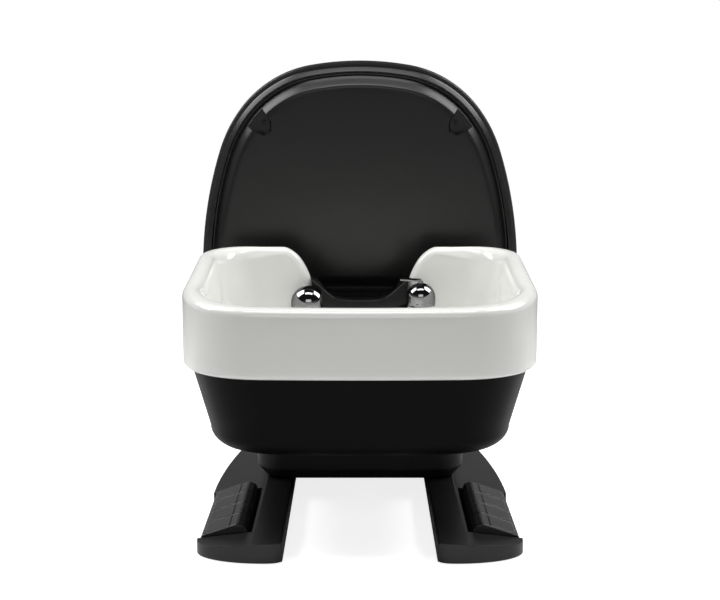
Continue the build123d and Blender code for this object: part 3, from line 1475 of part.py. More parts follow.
def make_back_cushion():
    """Upholstered back: wraps round the frame's edge, crowned in front, open behind for the frame."""
    outer = -shell_back_depth - resting_gap
    inner = outer - tube_side - back_board_thickness - 2 * resting_gap
    face = inner - back_cushion_thickness
    faces = []
    for deep, draw in zip(back_crown_depth_shares, back_crown_inset_shares):
        section = back_plan(draw * back_crown_inset)
        faces.append(Pos(0, 0, outer + deep * (face - outer)) * section)
    cushion = loft(faces, ruled=True)
    deep = (inner - resting_gap, outer + overrun)
    cushion -= back_layer(back_cushion_wall, *deep)
    half = tube_side / 2 + moving_gap
    for x in (-back_frame_x, back_frame_x):
        wall = (-back_drop - overrun, -back_drop + back_cushion_wall + overrun)
        cushion -= block((x - half, x + half), wall, deep)
    cushion = back_plane * cushion
    seat_space = block(
        (-seat_half_width - moulding_wall, seat_half_width + moulding_wall),
        (seat_back_y - 2 * moulding_wall, seat_front_y),
        (seat_under_z - back_drop, seat_top_z + moulding_wall * 2),
    )
    eye = recline_shaft_radius + bush_wall + eye_wall + 2 * moving_gap
    room = 2 * moving_gap
    bracket_x = (recline_bracket_x - bush_flange - room, recline_bracket_x + plate_thickness + room)
    notch_z = (recline_z - back_drop, recline_z + eye * 2)
    cushion -= seat_space
    for side in (-1, 1):
        x = sorted((side * bracket_x[0], side * bracket_x[1]))
        cushion -= block(x, (recline_y - eye * 2, rear_plate_y + rear_plate_depth), notch_z)
    return cushion


def make_drive(x, y_pin, way, reach):
    """Small linear actuator under the seat: tube, motor and gear case, opening towards its rod."""
    z = drive_z
    far = y_pin + way * (reach + tube_length)
    near = y_pin + way * reach
    low, high = sorted((near, far))
    body = bar(tube_radius, (x, low, z), (x, high, z))
    case_y = sorted((far, far - way * drive_case_depth))
    motor_x = x + math.copysign(drive_motor_radius * 2, x)
    case = sorted((x, motor_x))
    body += block(case, case_y, (z - tube_radius, z + tube_radius))
    motor_y = sorted((far, far - way * drive_motor_length))
    body += bar(drive_motor_radius - tube_wall, (motor_x, motor_y[0], z), (motor_x, motor_y[1], z))
    bore = rod_radius + running_clearance
    start = near - way * overrun
    end = far - way * tube_wall
    body -= bar(bore, (x, start, z), (x, end, z))
    hang = sorted((far - way * tube_wall, far - way * drive_case_depth))
    top = seat_frame_top_z - resting_gap
    body += block((x - tube_radius, x + tube_radius), hang, (z + tube_radius - tube_wall, top))
    return body


def make_drive_rod(x, y_pin, way, reach, stroke, pin_way):
    """Rod of a small actuator with the cross pin that runs in a lever's slot."""
    z = drive_z
    tail = y_pin + way * (reach + stroke + tube_wall * 3)
    rod = bar(rod_radius, (x, y_pin, z), (x, tail, z))
    eye = rod_radius + tube_wall
    rod += bar(eye, (x - rod_radius, y_pin, z), (x + rod_radius, y_pin, z))
    pin_end = x + pin_way * (rod_radius + moving_gap + plate_thickness + drive_pin_length / 2)
    return rod + bar(drive_pin_radius, (x, y_pin, z), (pin_end, y_pin, z))


def make_legrest_frame():
    """Two arms and a cross bar that carry the legrest board, with the drive lever on the shaft."""
    arm_x = legrest_bracket_x - bush_flange - moving_gap - plate_thickness
    eye = legrest_shaft_radius + eye_wall
    x = (arm_x, arm_x + plate_thickness)
    low_z = legrest_z - legrest_length * 2 / 3
    y = (legrest_y - legrest_shaft_radius, legrest_board_y - resting_gap)
    side = block(x, y, (low_z, legrest_z))
    side += bar(eye - eye_wall / 2, (x[0], legrest_y, legrest_z), (x[1], legrest_y, legrest_z))
    bore_x = (x[0] - overrun, x[1] + overrun)
    side -= bar(legrest_shaft_radius, (bore_x[0], legrest_y, legrest_z), (bore_x[1], legrest_y, legrest_z))
    side += block((0, x[1]), (y[1] - plate_thickness, y[1]), (low_z, low_z + tube_side))
    frame = side + mirror(side, Plane.YZ)
    lever = drive_lever(legrest_shaft_radius, legrest_arm_x, legrest_drop, legrest_lift)
    return frame + Pos(0, legrest_y, legrest_z) * lever


def make_legrest_shaft():
    """Cross shaft of the legrest, welded to its arms and lever."""
    reach = legrest_bracket_x + legrest_bracket_thickness + moulding_wall
    return bar(legrest_shaft_radius, (-reach, legrest_y, legrest_z), (reach, legrest_y, legrest_z))


def make_legrest_board():
    """Board between the legrest frame and its cushion."""
    half = legrest_half_width - moulding_wall
    y = (legrest_board_y, legrest_board_y + legrest_board_thickness)
    z = (legrest_z - legrest_length + moulding_wall, legrest_z - moulding_wall)
    board = block((-half, half), y, z)
    return fillet(board.edges().filter_by(Axis.Y), legrest_edge_radius)


def make_legrest_cushion():
    """Upholstered calf pad."""
    y0 = legrest_board_y + legrest_board_thickness + resting_gap
    wide = (-legrest_half_width, legrest_half_width)
    pad = block(wide, (y0, legrest_face_y), (legrest_z - legrest_length, legrest_z))
    pad = fillet(pad.edges().filter_by(Axis.Y), legrest_edge_radius + moulding_wall)
    return fillet(pad.faces().sort_by(Axis.Y)[-1].edges(), legrest_edge_radius)


def write(name, *solids):
    """Write one piece, shifted so that the origin is at the middle of the footprint."""
    bodies = []
    for solid in solids:
        moved = Pos(0, -overall_length / 2, 0) * solid
        bodies += moved.solids()
    shape = bodies[0] if len(bodies) == 1 else Compound(bodies)
    export_step(shape, os.path.join("parts", name + ".step"))


def build():
    """Make and write every piece."""
    os.makedirs("parts", exist_ok=True)
    write("base_frame", make_base_frame())
    write("foot_pads", *make_foot_pads())
    cover = make_leg_cover()
    write("leg_cover_right", cover)
    write("leg_cover_left", mirror(cover, Plane.YZ))
    write("pedal_shafts", *both_sides(make_pedal_shaft()))
    switches = make_pedal_switches()
    write("pedal_switches", *switches, *[mirror(one, Plane.YZ) for one in switches])
    for number in range(pedal_count):
        pedal = make_pedal(number)
        write("pedal_right_" + str(number + 1), pedal)
        write("pedal_left_" + str(number + 1), mirror(pedal, Plane.YZ))
    write("pedestal_frame", make_pedestal_frame())
    write("pedestal_cover", make_pedestal_cover())
    write("pedestal_screws", *make_pedestal_screws())
    write("control_box", make_control_box())
    write("water_inlets", *make_water_inlets())
    write("bowl_bracket", make_bowl_bracket())
    write("bowl_pads", *make_bowl_pads())
    write("bowl_housing", make_bowl_housing())
    write("bowl", make_bowl())
    write("neck_rest", make_neck_rest())
    write("drain_body", make_drain_body())
    write("strainer", make_strainer())
    write("waste_pipe", make_waste_pipe())
    write("mixer_base", make_mixer_base())
    write("mixer_cap", make_mixer_cap())
    write("mixer_lever", make_mixer_lever())
    write("shower_holder", make_shower_holder())
    write("hand_shower", make_hand_shower())
    write("slide_rails_fixed", *both_sides(rail_member(0)))
    write("slide_rails_middle", *both_sides(rail_member(1)))
    write("slide_rails_inner", *both_sides(rail_member(2)))
    write("slide_cover", make_slide_cover())
    write("slide_actuator", make_slide_actuator())
    write("slide_rod", make_slide_rod())
    write("seat_frame", make_seat_frame())
    write("hinge_bushes", *make_hinge_bushes())
    write("seat_pan", make_seat_pan())
    write("seat_cushion", make_seat_cushion())
    write("arm_supports", *both_sides(make_arm_support()))
    write("arm_pads", *both_sides(make_arm_pad()))
    write("back_frame", make_back_frame())
    write("recline_shaft", make_recline_shaft())
    write("back_shell", back_plane * make_back_shell())
    write("shell_screws", *[back_plane * screw for screw in make_shell_screws()])
    write("back_board", make_back_board())
    write("back_cushion", make_back_cushion())
    lever_gap = plate_thickness / 2 + moving_gap + rod_radius
    recline_x = recline_arm_x - lever_gap
    write("recline_actuator", make_drive(recline_x, recline_pin_y, 1, recline_room))
    write("recline_rod", make_drive_rod(recline_x, recline_pin_y, 1, recline_room, 0, 1))
    legrest_x = legrest_arm_x + lever_gap
    write("legrest_actuator", make_drive(legrest_x, legrest_pin_y, -1, lever_plate_width))
    write("legrest_rod", make_drive_rod(legrest_x, legrest_pin_y, -1, lever_plate_width, legrest_stroke, -1))
    write("legrest_frame", make_legrest_frame())
    write("legrest_shaft", make_legrest_shaft())
    write("legrest_board", make_legrest_board())
    write("legrest_cushion", make_legrest_cushion())
    print("overall length", round(overall_length, 3))
    print("slide travel", slide_travel, "recline stroke", round(recline_stroke, 3))
    print("legrest stroke", round(legrest_stroke, 3))
    print("back shell axis", recline_local())


build()
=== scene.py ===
import math

import bmesh
import bpy
import numpy as np
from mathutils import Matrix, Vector


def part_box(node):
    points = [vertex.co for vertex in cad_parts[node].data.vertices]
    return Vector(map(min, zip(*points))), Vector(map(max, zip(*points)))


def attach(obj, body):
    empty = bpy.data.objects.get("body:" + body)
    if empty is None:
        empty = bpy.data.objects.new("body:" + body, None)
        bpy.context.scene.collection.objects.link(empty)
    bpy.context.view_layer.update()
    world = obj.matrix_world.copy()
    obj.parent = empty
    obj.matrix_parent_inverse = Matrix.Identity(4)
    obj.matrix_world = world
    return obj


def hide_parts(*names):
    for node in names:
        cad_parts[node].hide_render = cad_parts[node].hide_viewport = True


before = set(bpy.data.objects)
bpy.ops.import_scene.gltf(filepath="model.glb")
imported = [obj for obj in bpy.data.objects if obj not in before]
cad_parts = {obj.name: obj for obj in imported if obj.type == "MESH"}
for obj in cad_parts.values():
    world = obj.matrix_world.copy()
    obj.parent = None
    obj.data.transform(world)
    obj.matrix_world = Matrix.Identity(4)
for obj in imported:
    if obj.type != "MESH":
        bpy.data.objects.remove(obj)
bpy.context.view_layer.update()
scene = bpy.context.scene
scene.view_settings.view_transform = "Standard"

# Studio: the camera stands on the stylist's side, a little above the bowl, as in the photograph.
# A pale floor runs out to a white surround. Two broad soft lamps hang at the sides, one stands in
# front and a strip hangs above the bowl. Each lamp has a place, an aim, a size and a power.
bowl_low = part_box("bowl")[0]
camera_distance = 2.520
camera_height = 0.8229
camera_pitch = 7.902
camera_lens = 73.85
sensor_width = 36.0
white = (1, 1, 1, 1)
floor_size = 60.0
floor_colour = (0.88, 0.88, 0.88)
floor_roughness = 0.7
floor_near = (0.9, 2.6)
floor_glow = (0.82, 1.0)
surround_light = 0.36
ceiling_light = (0.06, 0.06, 0.06, 1)
ceiling_span = (0.10, 0.40)
lamps = {
    "left_top": ((-1.6, 0.1, 2.2), (0, -0.2, 0.45), (1.3, 1.5), 58),
    "right_top": ((1.6, 0.1, 2.2), (0, -0.2, 0.45), (1.3, 1.5), 58),
    "front": ((0, -3.8, 1.9), (0, -0.4, 0.4), (2.4, 1.2), 17),
    "top": ((0, -0.8, 2.6), (0, -0.25, 0.4), (1.6, 0.5), 18),
}


def give(tree, socket, value):
    """Sets an input to a value, or joins it to an output."""
    if isinstance(value, bpy.types.NodeSocket):
        tree.links.new(value, socket)
    else:
        socket.default_value = value


def node_of(tree, kind, inputs=(), **values):
    """New node with its properties set and its inputs given."""
    node = tree.nodes.new(kind)
    for name, value in values.items():
        setattr(node, name, value)
    for name, value in dict(inputs).items():
        give(tree, node.inputs[name], value)
    return node


def ramp_of(tree, factor, span, low, high, easing="LINEAR"):
    """Colour ramp from low to high over a span of its factor."""
    ramp = node_of(tree, "ShaderNodeValToRGB", {0: factor})
    ramp.color_ramp.interpolation = easing
    for stop, place, colour in zip(ramp.color_ramp.elements, span, (low, high)):
        stop.position = place
        stop.color = colour
    return ramp.outputs[0]


def new_material(name, colour, roughness, metallic=0.0, gloss=0.5):
    """Material with one main shader; returns the material, its tree and the shader."""
    mat = bpy.data.materials.new(name)
    mat.use_nodes = True
    tree = mat.node_tree
    bsdf = tree.nodes["Principled BSDF"]
    give(tree, bsdf.inputs["Base Color"], (*colour, 1))
    give(tree, bsdf.inputs["Roughness"], roughness)
    give(tree, bsdf.inputs["Metallic"], metallic)
    give(tree, bsdf.inputs["Specular IOR Level"], gloss)
    # Metals get a grey edge tint, painted shade that darkens their reflections at grazing angles.
    give(tree, bsdf.inputs["Specular Tint"], (0.5, 0.5, 0.5, 1) if metallic else white)
    return mat, tree, bsdf


def new_object(name, data):
    """Object of the scene with the given data."""
    obj = bpy.data.objects.new(name, data)
    scene.collection.objects.link(obj)
    return obj


def set_camera():
    """Camera level across, tipped down by its pitch, looking along +Y."""
    data = bpy.data.cameras.new("photo_camera")
    data.sensor_width = sensor_width
    data.lens = camera_lens
    camera = new_object("photo_camera", data)
    camera.location = (0, bowl_low.y - camera_distance, camera_height)
    camera.rotation_euler = (math.radians(90 - camera_pitch), 0, 0)
    scene.camera = camera


def shows_white(tree):
    """Factor of 1 for rays from the camera and through glass, which see the white surround."""
    path = node_of(tree, "ShaderNodeLightPath")
    seen = {0: path.outputs["Is Camera Ray"], 1: path.outputs["Is Transmission Ray"]}
    return node_of(tree, "ShaderNodeMath", seen, operation="MAXIMUM").outputs[0]


def set_world():
    """White surround for the camera; the object is lit by a softer one with a dim ceiling."""
    world = bpy.data.worlds.new("studio")
    scene.world = world
    world.use_nodes = True
    tree = world.node_tree
    tree.nodes.clear()
    coords = node_of(tree, "ShaderNodeTexCoord")
    split = node_of(tree, "ShaderNodeSeparateXYZ", {0: coords.outputs["Generated"]})
    shade = ramp_of(tree, split.outputs["Z"], ceiling_span, white, ceiling_light, "EASE")
    lights = node_of(tree, "ShaderNodeBackground", {"Color": shade, "Strength": surround_light})
    seen = node_of(tree, "ShaderNodeBackground", {"Color": white, "Strength": 1.0})
    parts = {0: shows_white(tree), 1: lights.outputs[0], 2: seen.outputs[0]}
    mix = node_of(tree, "ShaderNodeMixShader", parts)
    node_of(tree, "ShaderNodeOutputWorld", {"Surface": mix.outputs[0]})


def set_floor():
    """Pale matte floor that glows up to the surround's white, less so near the object's shadow."""
    half = floor_size / 2
    corners = [(-half, -half, 0), (half, -half, 0), (half, half, 0), (-half, half, 0)]
    mesh = bpy.data.meshes.new("floor")
    mesh.from_pydata(corners, [], [(0, 1, 2, 3)])
    floor = new_object("floor", mesh)
    mat, tree, bsdf = new_material("pale_floor", floor_colour, floor_roughness)
    coords = node_of(tree, "ShaderNodeTexCoord")
    reach = node_of(tree, "ShaderNodeVectorMath", {0: coords.outputs["Object"]}, operation="LENGTH")
    spans = dict(zip(("From Min", "From Max", "To Min", "To Max"), (*floor_near, *floor_glow)))
    spans["Value"] = reach.outputs["Value"]
    spread = node_of(tree, "ShaderNodeMapRange", spans, interpolation_type="SMOOTHSTEP")
    parts = {0: shows_white(tree), 1: spread.outputs["Result"]}
    glow = node_of(tree, "ShaderNodeMath", parts, operation="MULTIPLY")
    give(tree, bsdf.inputs["Emission Color"], white)
    give(tree, bsdf.inputs["Emission Strength"], glow.outputs[0])
    mesh.materials.append(mat)


def set_lamp(name, place, aim, size, power):
    """Rectangular soft lamp at a place, turned to its aim."""
    data = bpy.data.lights.new(name, "AREA")
    data.shape = "RECTANGLE"
    data.size, data.size_y = size
    data.energy = power
    lamp = new_object(name, data)
    lamp.location = place
    lamp.rotation_euler = (Vector(aim) - Vector(place)).to_track_quat("-Z", "Y").to_euler()


set_camera()
set_world()
set_floor()
for name, settings in lamps.items():
    set_lamp(name, *settings)


# Steel under the covers: two beams with cross beams, the pedestal frame, the bowl bracket, the seat,
# back and legrest frames and the drives. Welded from plate and tube, then powder coated satin black
# with a fine orange peel and faint dust.
crease_angle = 32.0
weld_distance = 0.00001
noise_span = (0.35, 0.65)
steel_edge = 0.0010


def smooth_group():
    """Node group that shades a mesh smooth but keeps each edge sharper than the crease angle."""
    group = bpy.data.node_groups.new("smooth_by_angle", "GeometryNodeTree")
    for way in ("INPUT", "OUTPUT"):
        group.interface.new_socket("Geometry", in_out=way, socket_type="NodeSocketGeometry")
    mesh = node_of(group, "NodeGroupInput").outputs[0]
    angle = node_of(group, "GeometryNodeInputMeshEdgeAngle").outputs["Unsigned Angle"]
    limits = {0: angle, 1: math.radians(crease_angle)}
    sharp = node_of(group, "FunctionNodeCompare", limits, operation="GREATER_THAN").outputs[0]
    faces = node_of(group, "GeometryNodeSetShadeSmooth", {"Geometry": mesh}, domain="FACE")
    parts = {"Geometry": faces.outputs[0], "Selection": sharp, "Shade Smooth": False}
    edges = node_of(group, "GeometryNodeSetShadeSmooth", parts, domain="EDGE")
    node_of(group, "NodeGroupOutput", {0: edges.outputs["Geometry"]})
    return group


smooth_by_angle = smooth_group()


def weight_normals(obj):
    """Lets large faces shade flat and the small faces of their round edges take the turn."""
    weighted = obj.modifiers.new("weighted", "WEIGHTED_NORMAL")
    weighted.keep_sharp = True


def finish_nodes(names, mat):
    """Gives nodes of the frame their material, welds their loose triangles and shades them by angle."""
    for name in names:
        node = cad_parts[name]
        node.data.materials.clear()
        node.data.materials.append(mat)
        weld = node.modifiers.new("weld", "WELD")
        weld.merge_threshold = weld_distance
        shade = node.modifiers.new("shade", "NODES")
        shade.node_group = smooth_by_angle
        weight_normals(node)


def noise_of(tree, scale, detail=3.0, stretch=(1, 1, 1)):
    """Noise over the object's own coordinates, in blobs of about 1 / scale metres."""
    coords = node_of(tree, "ShaderNodeTexCoord")
    parts = {"Vector": coords.outputs["Object"], "Scale": stretch}
    place = node_of(tree, "ShaderNodeMapping", parts).outputs["Vector"]
    parts = {"Vector": place, "Scale": scale, "Detail": detail}
    return node_of(tree, "ShaderNodeTexNoise", parts).outputs["Fac"]


def tone_of(tree, noise, low, high):
    """Colour or grey value that runs from low to high with a noise."""
    low, high = ((*np.broadcast_to(value, 3).tolist(), 1) for value in (low, high))
    return ramp_of(tree, noise_of(tree, *noise), noise_span, low, high)


def relief(tree, bsdf, height, strength, depth, edge=0.0):
    """Surface relief of a height pattern, its depth in metres, over edges rounded by a small radius."""
    parts = {"Height": height, "Strength": strength, "Distance": depth}
    if edge:
        bevel = node_of(tree, "ShaderNodeBevel", {"Radius": edge}, samples=4)
        parts["Normal"] = bevel.outputs["Normal"]
    give(tree, bsdf.inputs["Normal"], node_of(tree, "ShaderNodeBump", parts).outputs["Normal"])


def surface(name, colour, roughness, metallic=0.0, gloss=0.5, tint=None, sheen=None, bump=None,
            edge=0.0):
    """Material whose colour, roughness and relief each follow a noise of their own.

    A tint and a sheen are (noise, low, high), a bump is (noise, strength, depth), and a noise is what
    noise_of takes after the tree. The edges of the object are rounded in shade by the edge radius.
    """
    mat, tree, bsdf = new_material(name, colour, roughness, metallic, gloss)
    if tint:
        give(tree, bsdf.inputs["Base Color"], tone_of(tree, *tint))
    if sheen:
        give(tree, bsdf.inputs["Roughness"], tone_of(tree, *sheen))
    if bump:
        noise, strength, depth = bump
        relief(tree, bsdf, noise_of(tree, *noise), strength, depth, edge)
    return mat


finish_nodes(
    ["base_frame", "pedestal_frame", "bowl_bracket", "seat_frame", "back_frame", "legrest_frame",
     "slide_actuator", "recline_actuator", "legrest_actuator", "arm_supports"],
    surface("black_powder_coat", (0.014, 0.014, 0.015), 0.42, gloss=0.3, edge=steel_edge,
            tint=((9,), (0.014, 0.014, 0.015), (0.024, 0.024, 0.0255)), bump=((900,), 0.25, 0.0002)),
)

# Zinc plated steel: shafts, rods and slide rails, cut from bar and sheet and plated bright, with soft
# streaks along the metal. The screws are blackened steel, a little worn where the driver bites.
plate_streaks = (60, 4, (1, 0.06, 1))
finish_nodes(
    ["slide_rails_fixed", "slide_rails_middle", "slide_rails_inner", "pedal_shafts", "recline_shaft",
     "legrest_shaft", "slide_rod", "recline_rod", "legrest_rod"],
    surface("zinc_plate", (0.55, 0.57, 0.60), 0.30, 1.0, edge=0.0004, sheen=((35,), 0.24, 0.40),
            tint=(plate_streaks, (0.46, 0.48, 0.50), (0.64, 0.66, 0.68)),
            bump=(plate_streaks, 0.15, 0.0001)),
)
finish_nodes(
    ["pedestal_screws", "shell_screws"],
    surface("black_oxide", (0.02, 0.02, 0.021), 0.45, 1.0, edge=0.0003,
            tint=((400,), 0.012, 0.035), bump=((2500,), 0.2, 0.0001)),
)

# Rubber: six glides under the beams and four pads under the basin, moulded in one piece each, with a
# dry bloom. Brass: the hinge bushes and the two water inlets, turned from bar, with turning marks.
finish_nodes(
    ["foot_pads", "bowl_pads"],
    surface("matte_rubber", (0.02, 0.02, 0.02), 0.75, gloss=0.3, edge=0.0008,
            tint=((25,), 0.018, 0.035), bump=((1400,), 0.3, 0.0002)),
)
finish_nodes(
    ["water_inlets", "hinge_bushes"],
    surface("turned_brass", (0.62, 0.44, 0.18), 0.28, 1.0, edge=0.0004,
            tint=((45,), (0.48, 0.33, 0.13), (0.68, 0.49, 0.22)),
            bump=((700, 2, (0.2, 0.2, 3)), 0.2, 0.0001)),
)

# Waste pipe and trap: grey polypropylene, injection moulded, with a waxy skin and faint flow marks.
finish_nodes(
    ["waste_pipe"],
    surface("pipe_plastic", (0.42, 0.43, 0.44), 0.45, edge=0.0008,
            tint=((12,), (0.38, 0.39, 0.40), (0.46, 0.47, 0.48)), bump=((300,), 0.15, 0.0002)),
)

# Boards under the cushions: birch plywood, cut to shape, with the plies showing along the edges.
board_grain = (28, 6, (1, 9, 9))
board_plies = (4, 0, (0.02, 0.02, 160))


def birch_board():
    """Birch plywood: long grain on the faces and thin plies on the edges."""
    mat, tree, bsdf = new_material("birch_board", (0.50, 0.36, 0.22), 0.55)
    face = tone_of(tree, board_grain, (0.42, 0.29, 0.17), (0.58, 0.43, 0.28))
    edge = tone_of(tree, board_plies, (0.30, 0.19, 0.10), (0.60, 0.46, 0.30))
    geometry = node_of(tree, "ShaderNodeNewGeometry")
    split = node_of(tree, "ShaderNodeSeparateXYZ", {0: geometry.outputs["Normal"]})
    side = node_of(tree, "ShaderNodeMath", {0: split.outputs["X"]}, operation="ABSOLUTE")
    parts = {"Factor": side.outputs[0], 6: face, 7: edge}
    mix = node_of(tree, "ShaderNodeMix", parts, data_type="RGBA")
    give(tree, bsdf.inputs["Base Color"], mix.outputs[2])
    relief(tree, bsdf, noise_of(tree, *board_grain), 0.2, 0.0003, 0.0008)
    return mat


finish_nodes(["seat_pan", "back_board", "legrest_board"], birch_board())

# Black mouldings: leg covers, pedestal cover, slide cover and control box. Injection moulded, satin,
# with a fine spark grain; the corners are rounded by the mould.
moulding_edge = 0.0022
box_edge = 0.0008


def moulded_plastic(name, colour, roughness, grain, gloss, edge):
    """Moulded plastic: satin skin with a fine grain and slight changes of sheen."""
    lighter = [value * 1.12 for value in colour]
    sheen = ((14,), roughness - 0.01, roughness + 0.015)
    return surface(name, colour, roughness, gloss=gloss, tint=((6,), colour, lighter), sheen=sheen,
                   bump=((1800,), grain, 0.0001), edge=edge)


finish_nodes(
    ["leg_cover_left", "leg_cover_right"],
    moulded_plastic("cover_black", (0.014, 0.014, 0.0145), 0.32, 0.2, 0.4, moulding_edge),
)
finish_nodes(
    ["pedestal_cover", "slide_cover"],
    moulded_plastic("pedestal_black", (0.011, 0.011, 0.0115), 0.45, 0.35, 0.2, moulding_edge),
)
finish_nodes(
    ["control_box", "pedal_switches"],
    moulded_plastic("box_black", (0.02, 0.02, 0.021), 0.5, 0.4, 0.35, box_edge),
)

# Bowl: one glazed ceramic casting, white, with a rolled rim that rises towards the client, a notch for
# the neck in its back wall, a deck for the fittings and a basin that runs to the drain.
origin_y = 659.175
bowl_half = 328.0
bowl_depth = 550.0
nose_shares = (9.1463, 0.4329)
nose_turns = (3.5, 58.5)
corner_radius = 78.0
side_break_y = 335.0
rim_front_z = 453.0
rim_back_z = 511.0
rim_widths = (50.0, 40.0, 25.0)
rim_outer_roll = (0.44, 14.0)
rim_inner_roll = (0.56, 12.0, 28.0)
cavity_insets = (62.0, 52.0, 25.0)
deck_z = 360.0
deck_depth = 125.0
deck_hollow = (0.3, 9.0)
deck_roll = (0.35, 12.0)
deck_under = (52.0, 42.0, 48.0)
basin_corner = 90.0
basin_draft = 62.0
basin_floor_radius = 24.0
basin_floor_z = 300.0
drain_y = 235.0
drain_radius = 30.0
drain_lip = 5.0
skirt_z = 330.0
skirt_radius = 10.0
skirt_inner = (12.0, 12.0, 48.0)
skirt_lip = (13.0, 13.0, 47.0)
ceramic_wall = 12.0
notch_line = ((160, 511), (141, 504), (126, 491), (113, 471), (102.5, 446), (99, 425), (99, 399))
notch_foot_radius = 14.0
notch_floor_z = 385.0
bowl_counts = (10, 28, 14, 12, 34, 84)
glaze_colour = (0.80, 0.80, 0.775)


def unit(rows):
    """Vectors scaled to a length of one, row by row."""
    rows = np.asarray(rows, float)
    return rows / np.linalg.norm(rows, axis=-1, keepdims=True)


def quarter(count):
    """Pairs of 1 - cosine and 1 - sine over a quarter turn, which run from (0, 1) to (1, 0)."""
    angle = np.radians(np.linspace(0, 90, count))
    return list(zip(1 - np.cos(angle), 1 - np.sin(angle)))


def rectangle(x0, x1, y0, y1):
    """Corners of a rectangle, anticlockwise."""
    return np.array([(x0, y0), (x1, y0), (x1, y1), (x0, y1)], float)


def lifted(ring, z):
    """Flat ring of (x, y) points set at a height, or each point at its own height."""
    return np.column_stack([ring, np.zeros(len(ring)) + z])


def half_outline(half, front, back, corner, shares, turns, counts, break_at=None):
    """Right half of a round-nosed outline as (x, y) points from the nose to the middle of the back.

    The nose is a chain of tangent arcs, the last as large as brings it out to the half width. Then
    come a straight side, which ends at break_at or the corner, a run round the corner and a straight
    back. Counts are the points on each arc, side, corner and back.
    """
    parts = []
    x, y, angle = 0.0, front, 0.0
    radii = [share * half for share in shares]
    bounds = np.radians(np.concatenate([[0], np.cumsum(turns)]))
    reach = float((np.array(radii) * np.diff(np.sin(bounds))).sum())
    radii.append((half - reach) / (1 - math.sin(bounds[-1])))
    for radius, turn, count in zip(radii, (*turns, 90 - sum(turns)), counts):
        end = angle + math.radians(turn)
        along = np.linspace(angle, end, count + 1)
        line = np.stack([x + radius * (np.sin(along) - math.sin(angle)),
                         y + radius * (math.cos(angle) - np.cos(along))], axis=1)
        parts.append(line[:-1])
        (x, y), angle = line[-1], end
    side_count, corner_count, back_count = counts[-3:]
    corner_y = back - corner
    break_y = corner_y if break_at is None else min(break_at, corner_y)
    side = np.linspace(y, break_y, side_count, endpoint=False)
    parts.append(np.stack([np.full(side_count, half), side], axis=1))
    straight = corner_y - break_y
    run = np.linspace(0, straight + corner * math.pi / 2, corner_count, endpoint=False)
    bend = np.clip(run - straight, 0, None) / corner
    parts.append(np.stack([half - corner + corner * np.cos(bend),
                           break_y + np.clip(run, 0, straight) + corner * np.sin(bend)], axis=1))
    last = np.linspace(half - corner, 0, back_count)
    parts.append(np.stack([last, np.full(back_count, back)], axis=1))
    return np.vstack(parts)


def whole(half):
    """Closed ring from a right half: the half, then its mirror image back to the nose."""
    return np.vstack([half, half[-2:0:-1] * (-1, 1)])


def spline(points, start_way, end_way, count):
    """Cubic curve through points with given end directions, with slopes that make it bend evenly."""
    points = np.asarray(points, float)
    chord = np.linalg.norm(np.diff(points, axis=0), axis=1)
    knots = np.concatenate([[0], np.cumsum(chord)])
    size = len(points)
    system = np.eye(size)
    right = np.zeros(points.shape)
    right[0], right[-1] = unit(start_way), unit(end_way)
    for i in range(1, size - 1):
        before, after = chord[i - 1], chord[i]
        system[i, i - 1:i + 2] = after, 2 * (before + after), before
        right[i] = 3 * (after / before * (points[i] - points[i - 1])
                        + before / after * (points[i + 1] - points[i]))
    slopes = np.linalg.solve(system, right)
    at = np.linspace(0, knots[-1], count)
    k = np.clip(np.searchsorted(knots, at, side="right") - 1, 0, size - 2)
    h = chord[k][:, None]
    s = ((at - knots[k]) / chord[k])[:, None]
    return ((2 * s**3 - 3 * s**2 + 1) * points[k] + (s**3 - 2 * s**2 + s) * h * slopes[k]
            + (3 * s**2 - 2 * s**3) * points[k + 1] + (s**3 - s**2) * h * slopes[k + 1])


def skin(rings, ends="poles"):
    """Closed surface over rings of points, as points and blocks of faces.

    Each ring runs anticlockwise about the way from ring to ring, so that faces point outwards. The
    ends close on their middle points, on flat faces, or on each other.
    """
    count, around = rings.shape[:2]
    points = rings.reshape(-1, 3)
    row = np.arange(count - 1)[:, None] * around
    col = np.arange(around)[None, :]
    after = (col + 1) % around
    quads = np.stack([row + col, row + after, row + around + after, row + around + col], axis=-1)
    blocks = [quads.reshape(-1, 4)]
    col, after = col[0], after[0]
    last = (count - 1) * around
    if ends == "joined":
        blocks.append(np.stack([last + col, last + after, after, col], axis=-1))
    elif ends == "poles":
        points = np.vstack([points, rings[0].mean(axis=0), rings[-1].mean(axis=0)])
        low = np.full(around, count * around)
        blocks.append(np.stack([after, col, low], axis=-1))
        blocks.append(np.stack([last + col, last + after, low + 1], axis=-1))
    else:
        blocks.append(col[None, ::-1])
        blocks.append(last + col[None, :])
    return points, blocks


def shade_mesh(mesh, crease):
    """Shades a mesh smooth, with its edges sharp from an angle in degrees."""
    mesh.shade_smooth()
    mesh.set_sharp_from_angle(angle=math.radians(crease))


def mesh_of(name, parts):
    """Mesh in metres from parts in millimetres, with y measured from the bowl's front."""
    points, faces, start = [], [], 0
    for part_points, blocks in parts:
        points.append(part_points)
        for block in blocks:
            faces += (block + start).tolist()
        start += len(part_points)
    places = (np.vstack(points) - (0, origin_y, 0)) / 1000
    mesh = bpy.data.meshes.new(name)
    mesh.from_pydata(places.tolist(), [], faces)
    form = bmesh.new()
    form.from_mesh(mesh)
    bmesh.ops.remove_doubles(form, verts=form.verts, dist=weld_distance)
    form.to_mesh(mesh)
    form.free()
    return mesh


def piece(name, parts, mat, slot, body, *nodes, crease=crease_angle):
    """Object made of parts, which rides a body and stands in for nodes of the frame."""
    mesh = mesh_of(name, parts)
    shade_mesh(mesh, crease)
    mesh.materials.append(mat)
    obj = new_object(name, mesh)
    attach(obj, body)
    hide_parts(*nodes)
    return obj


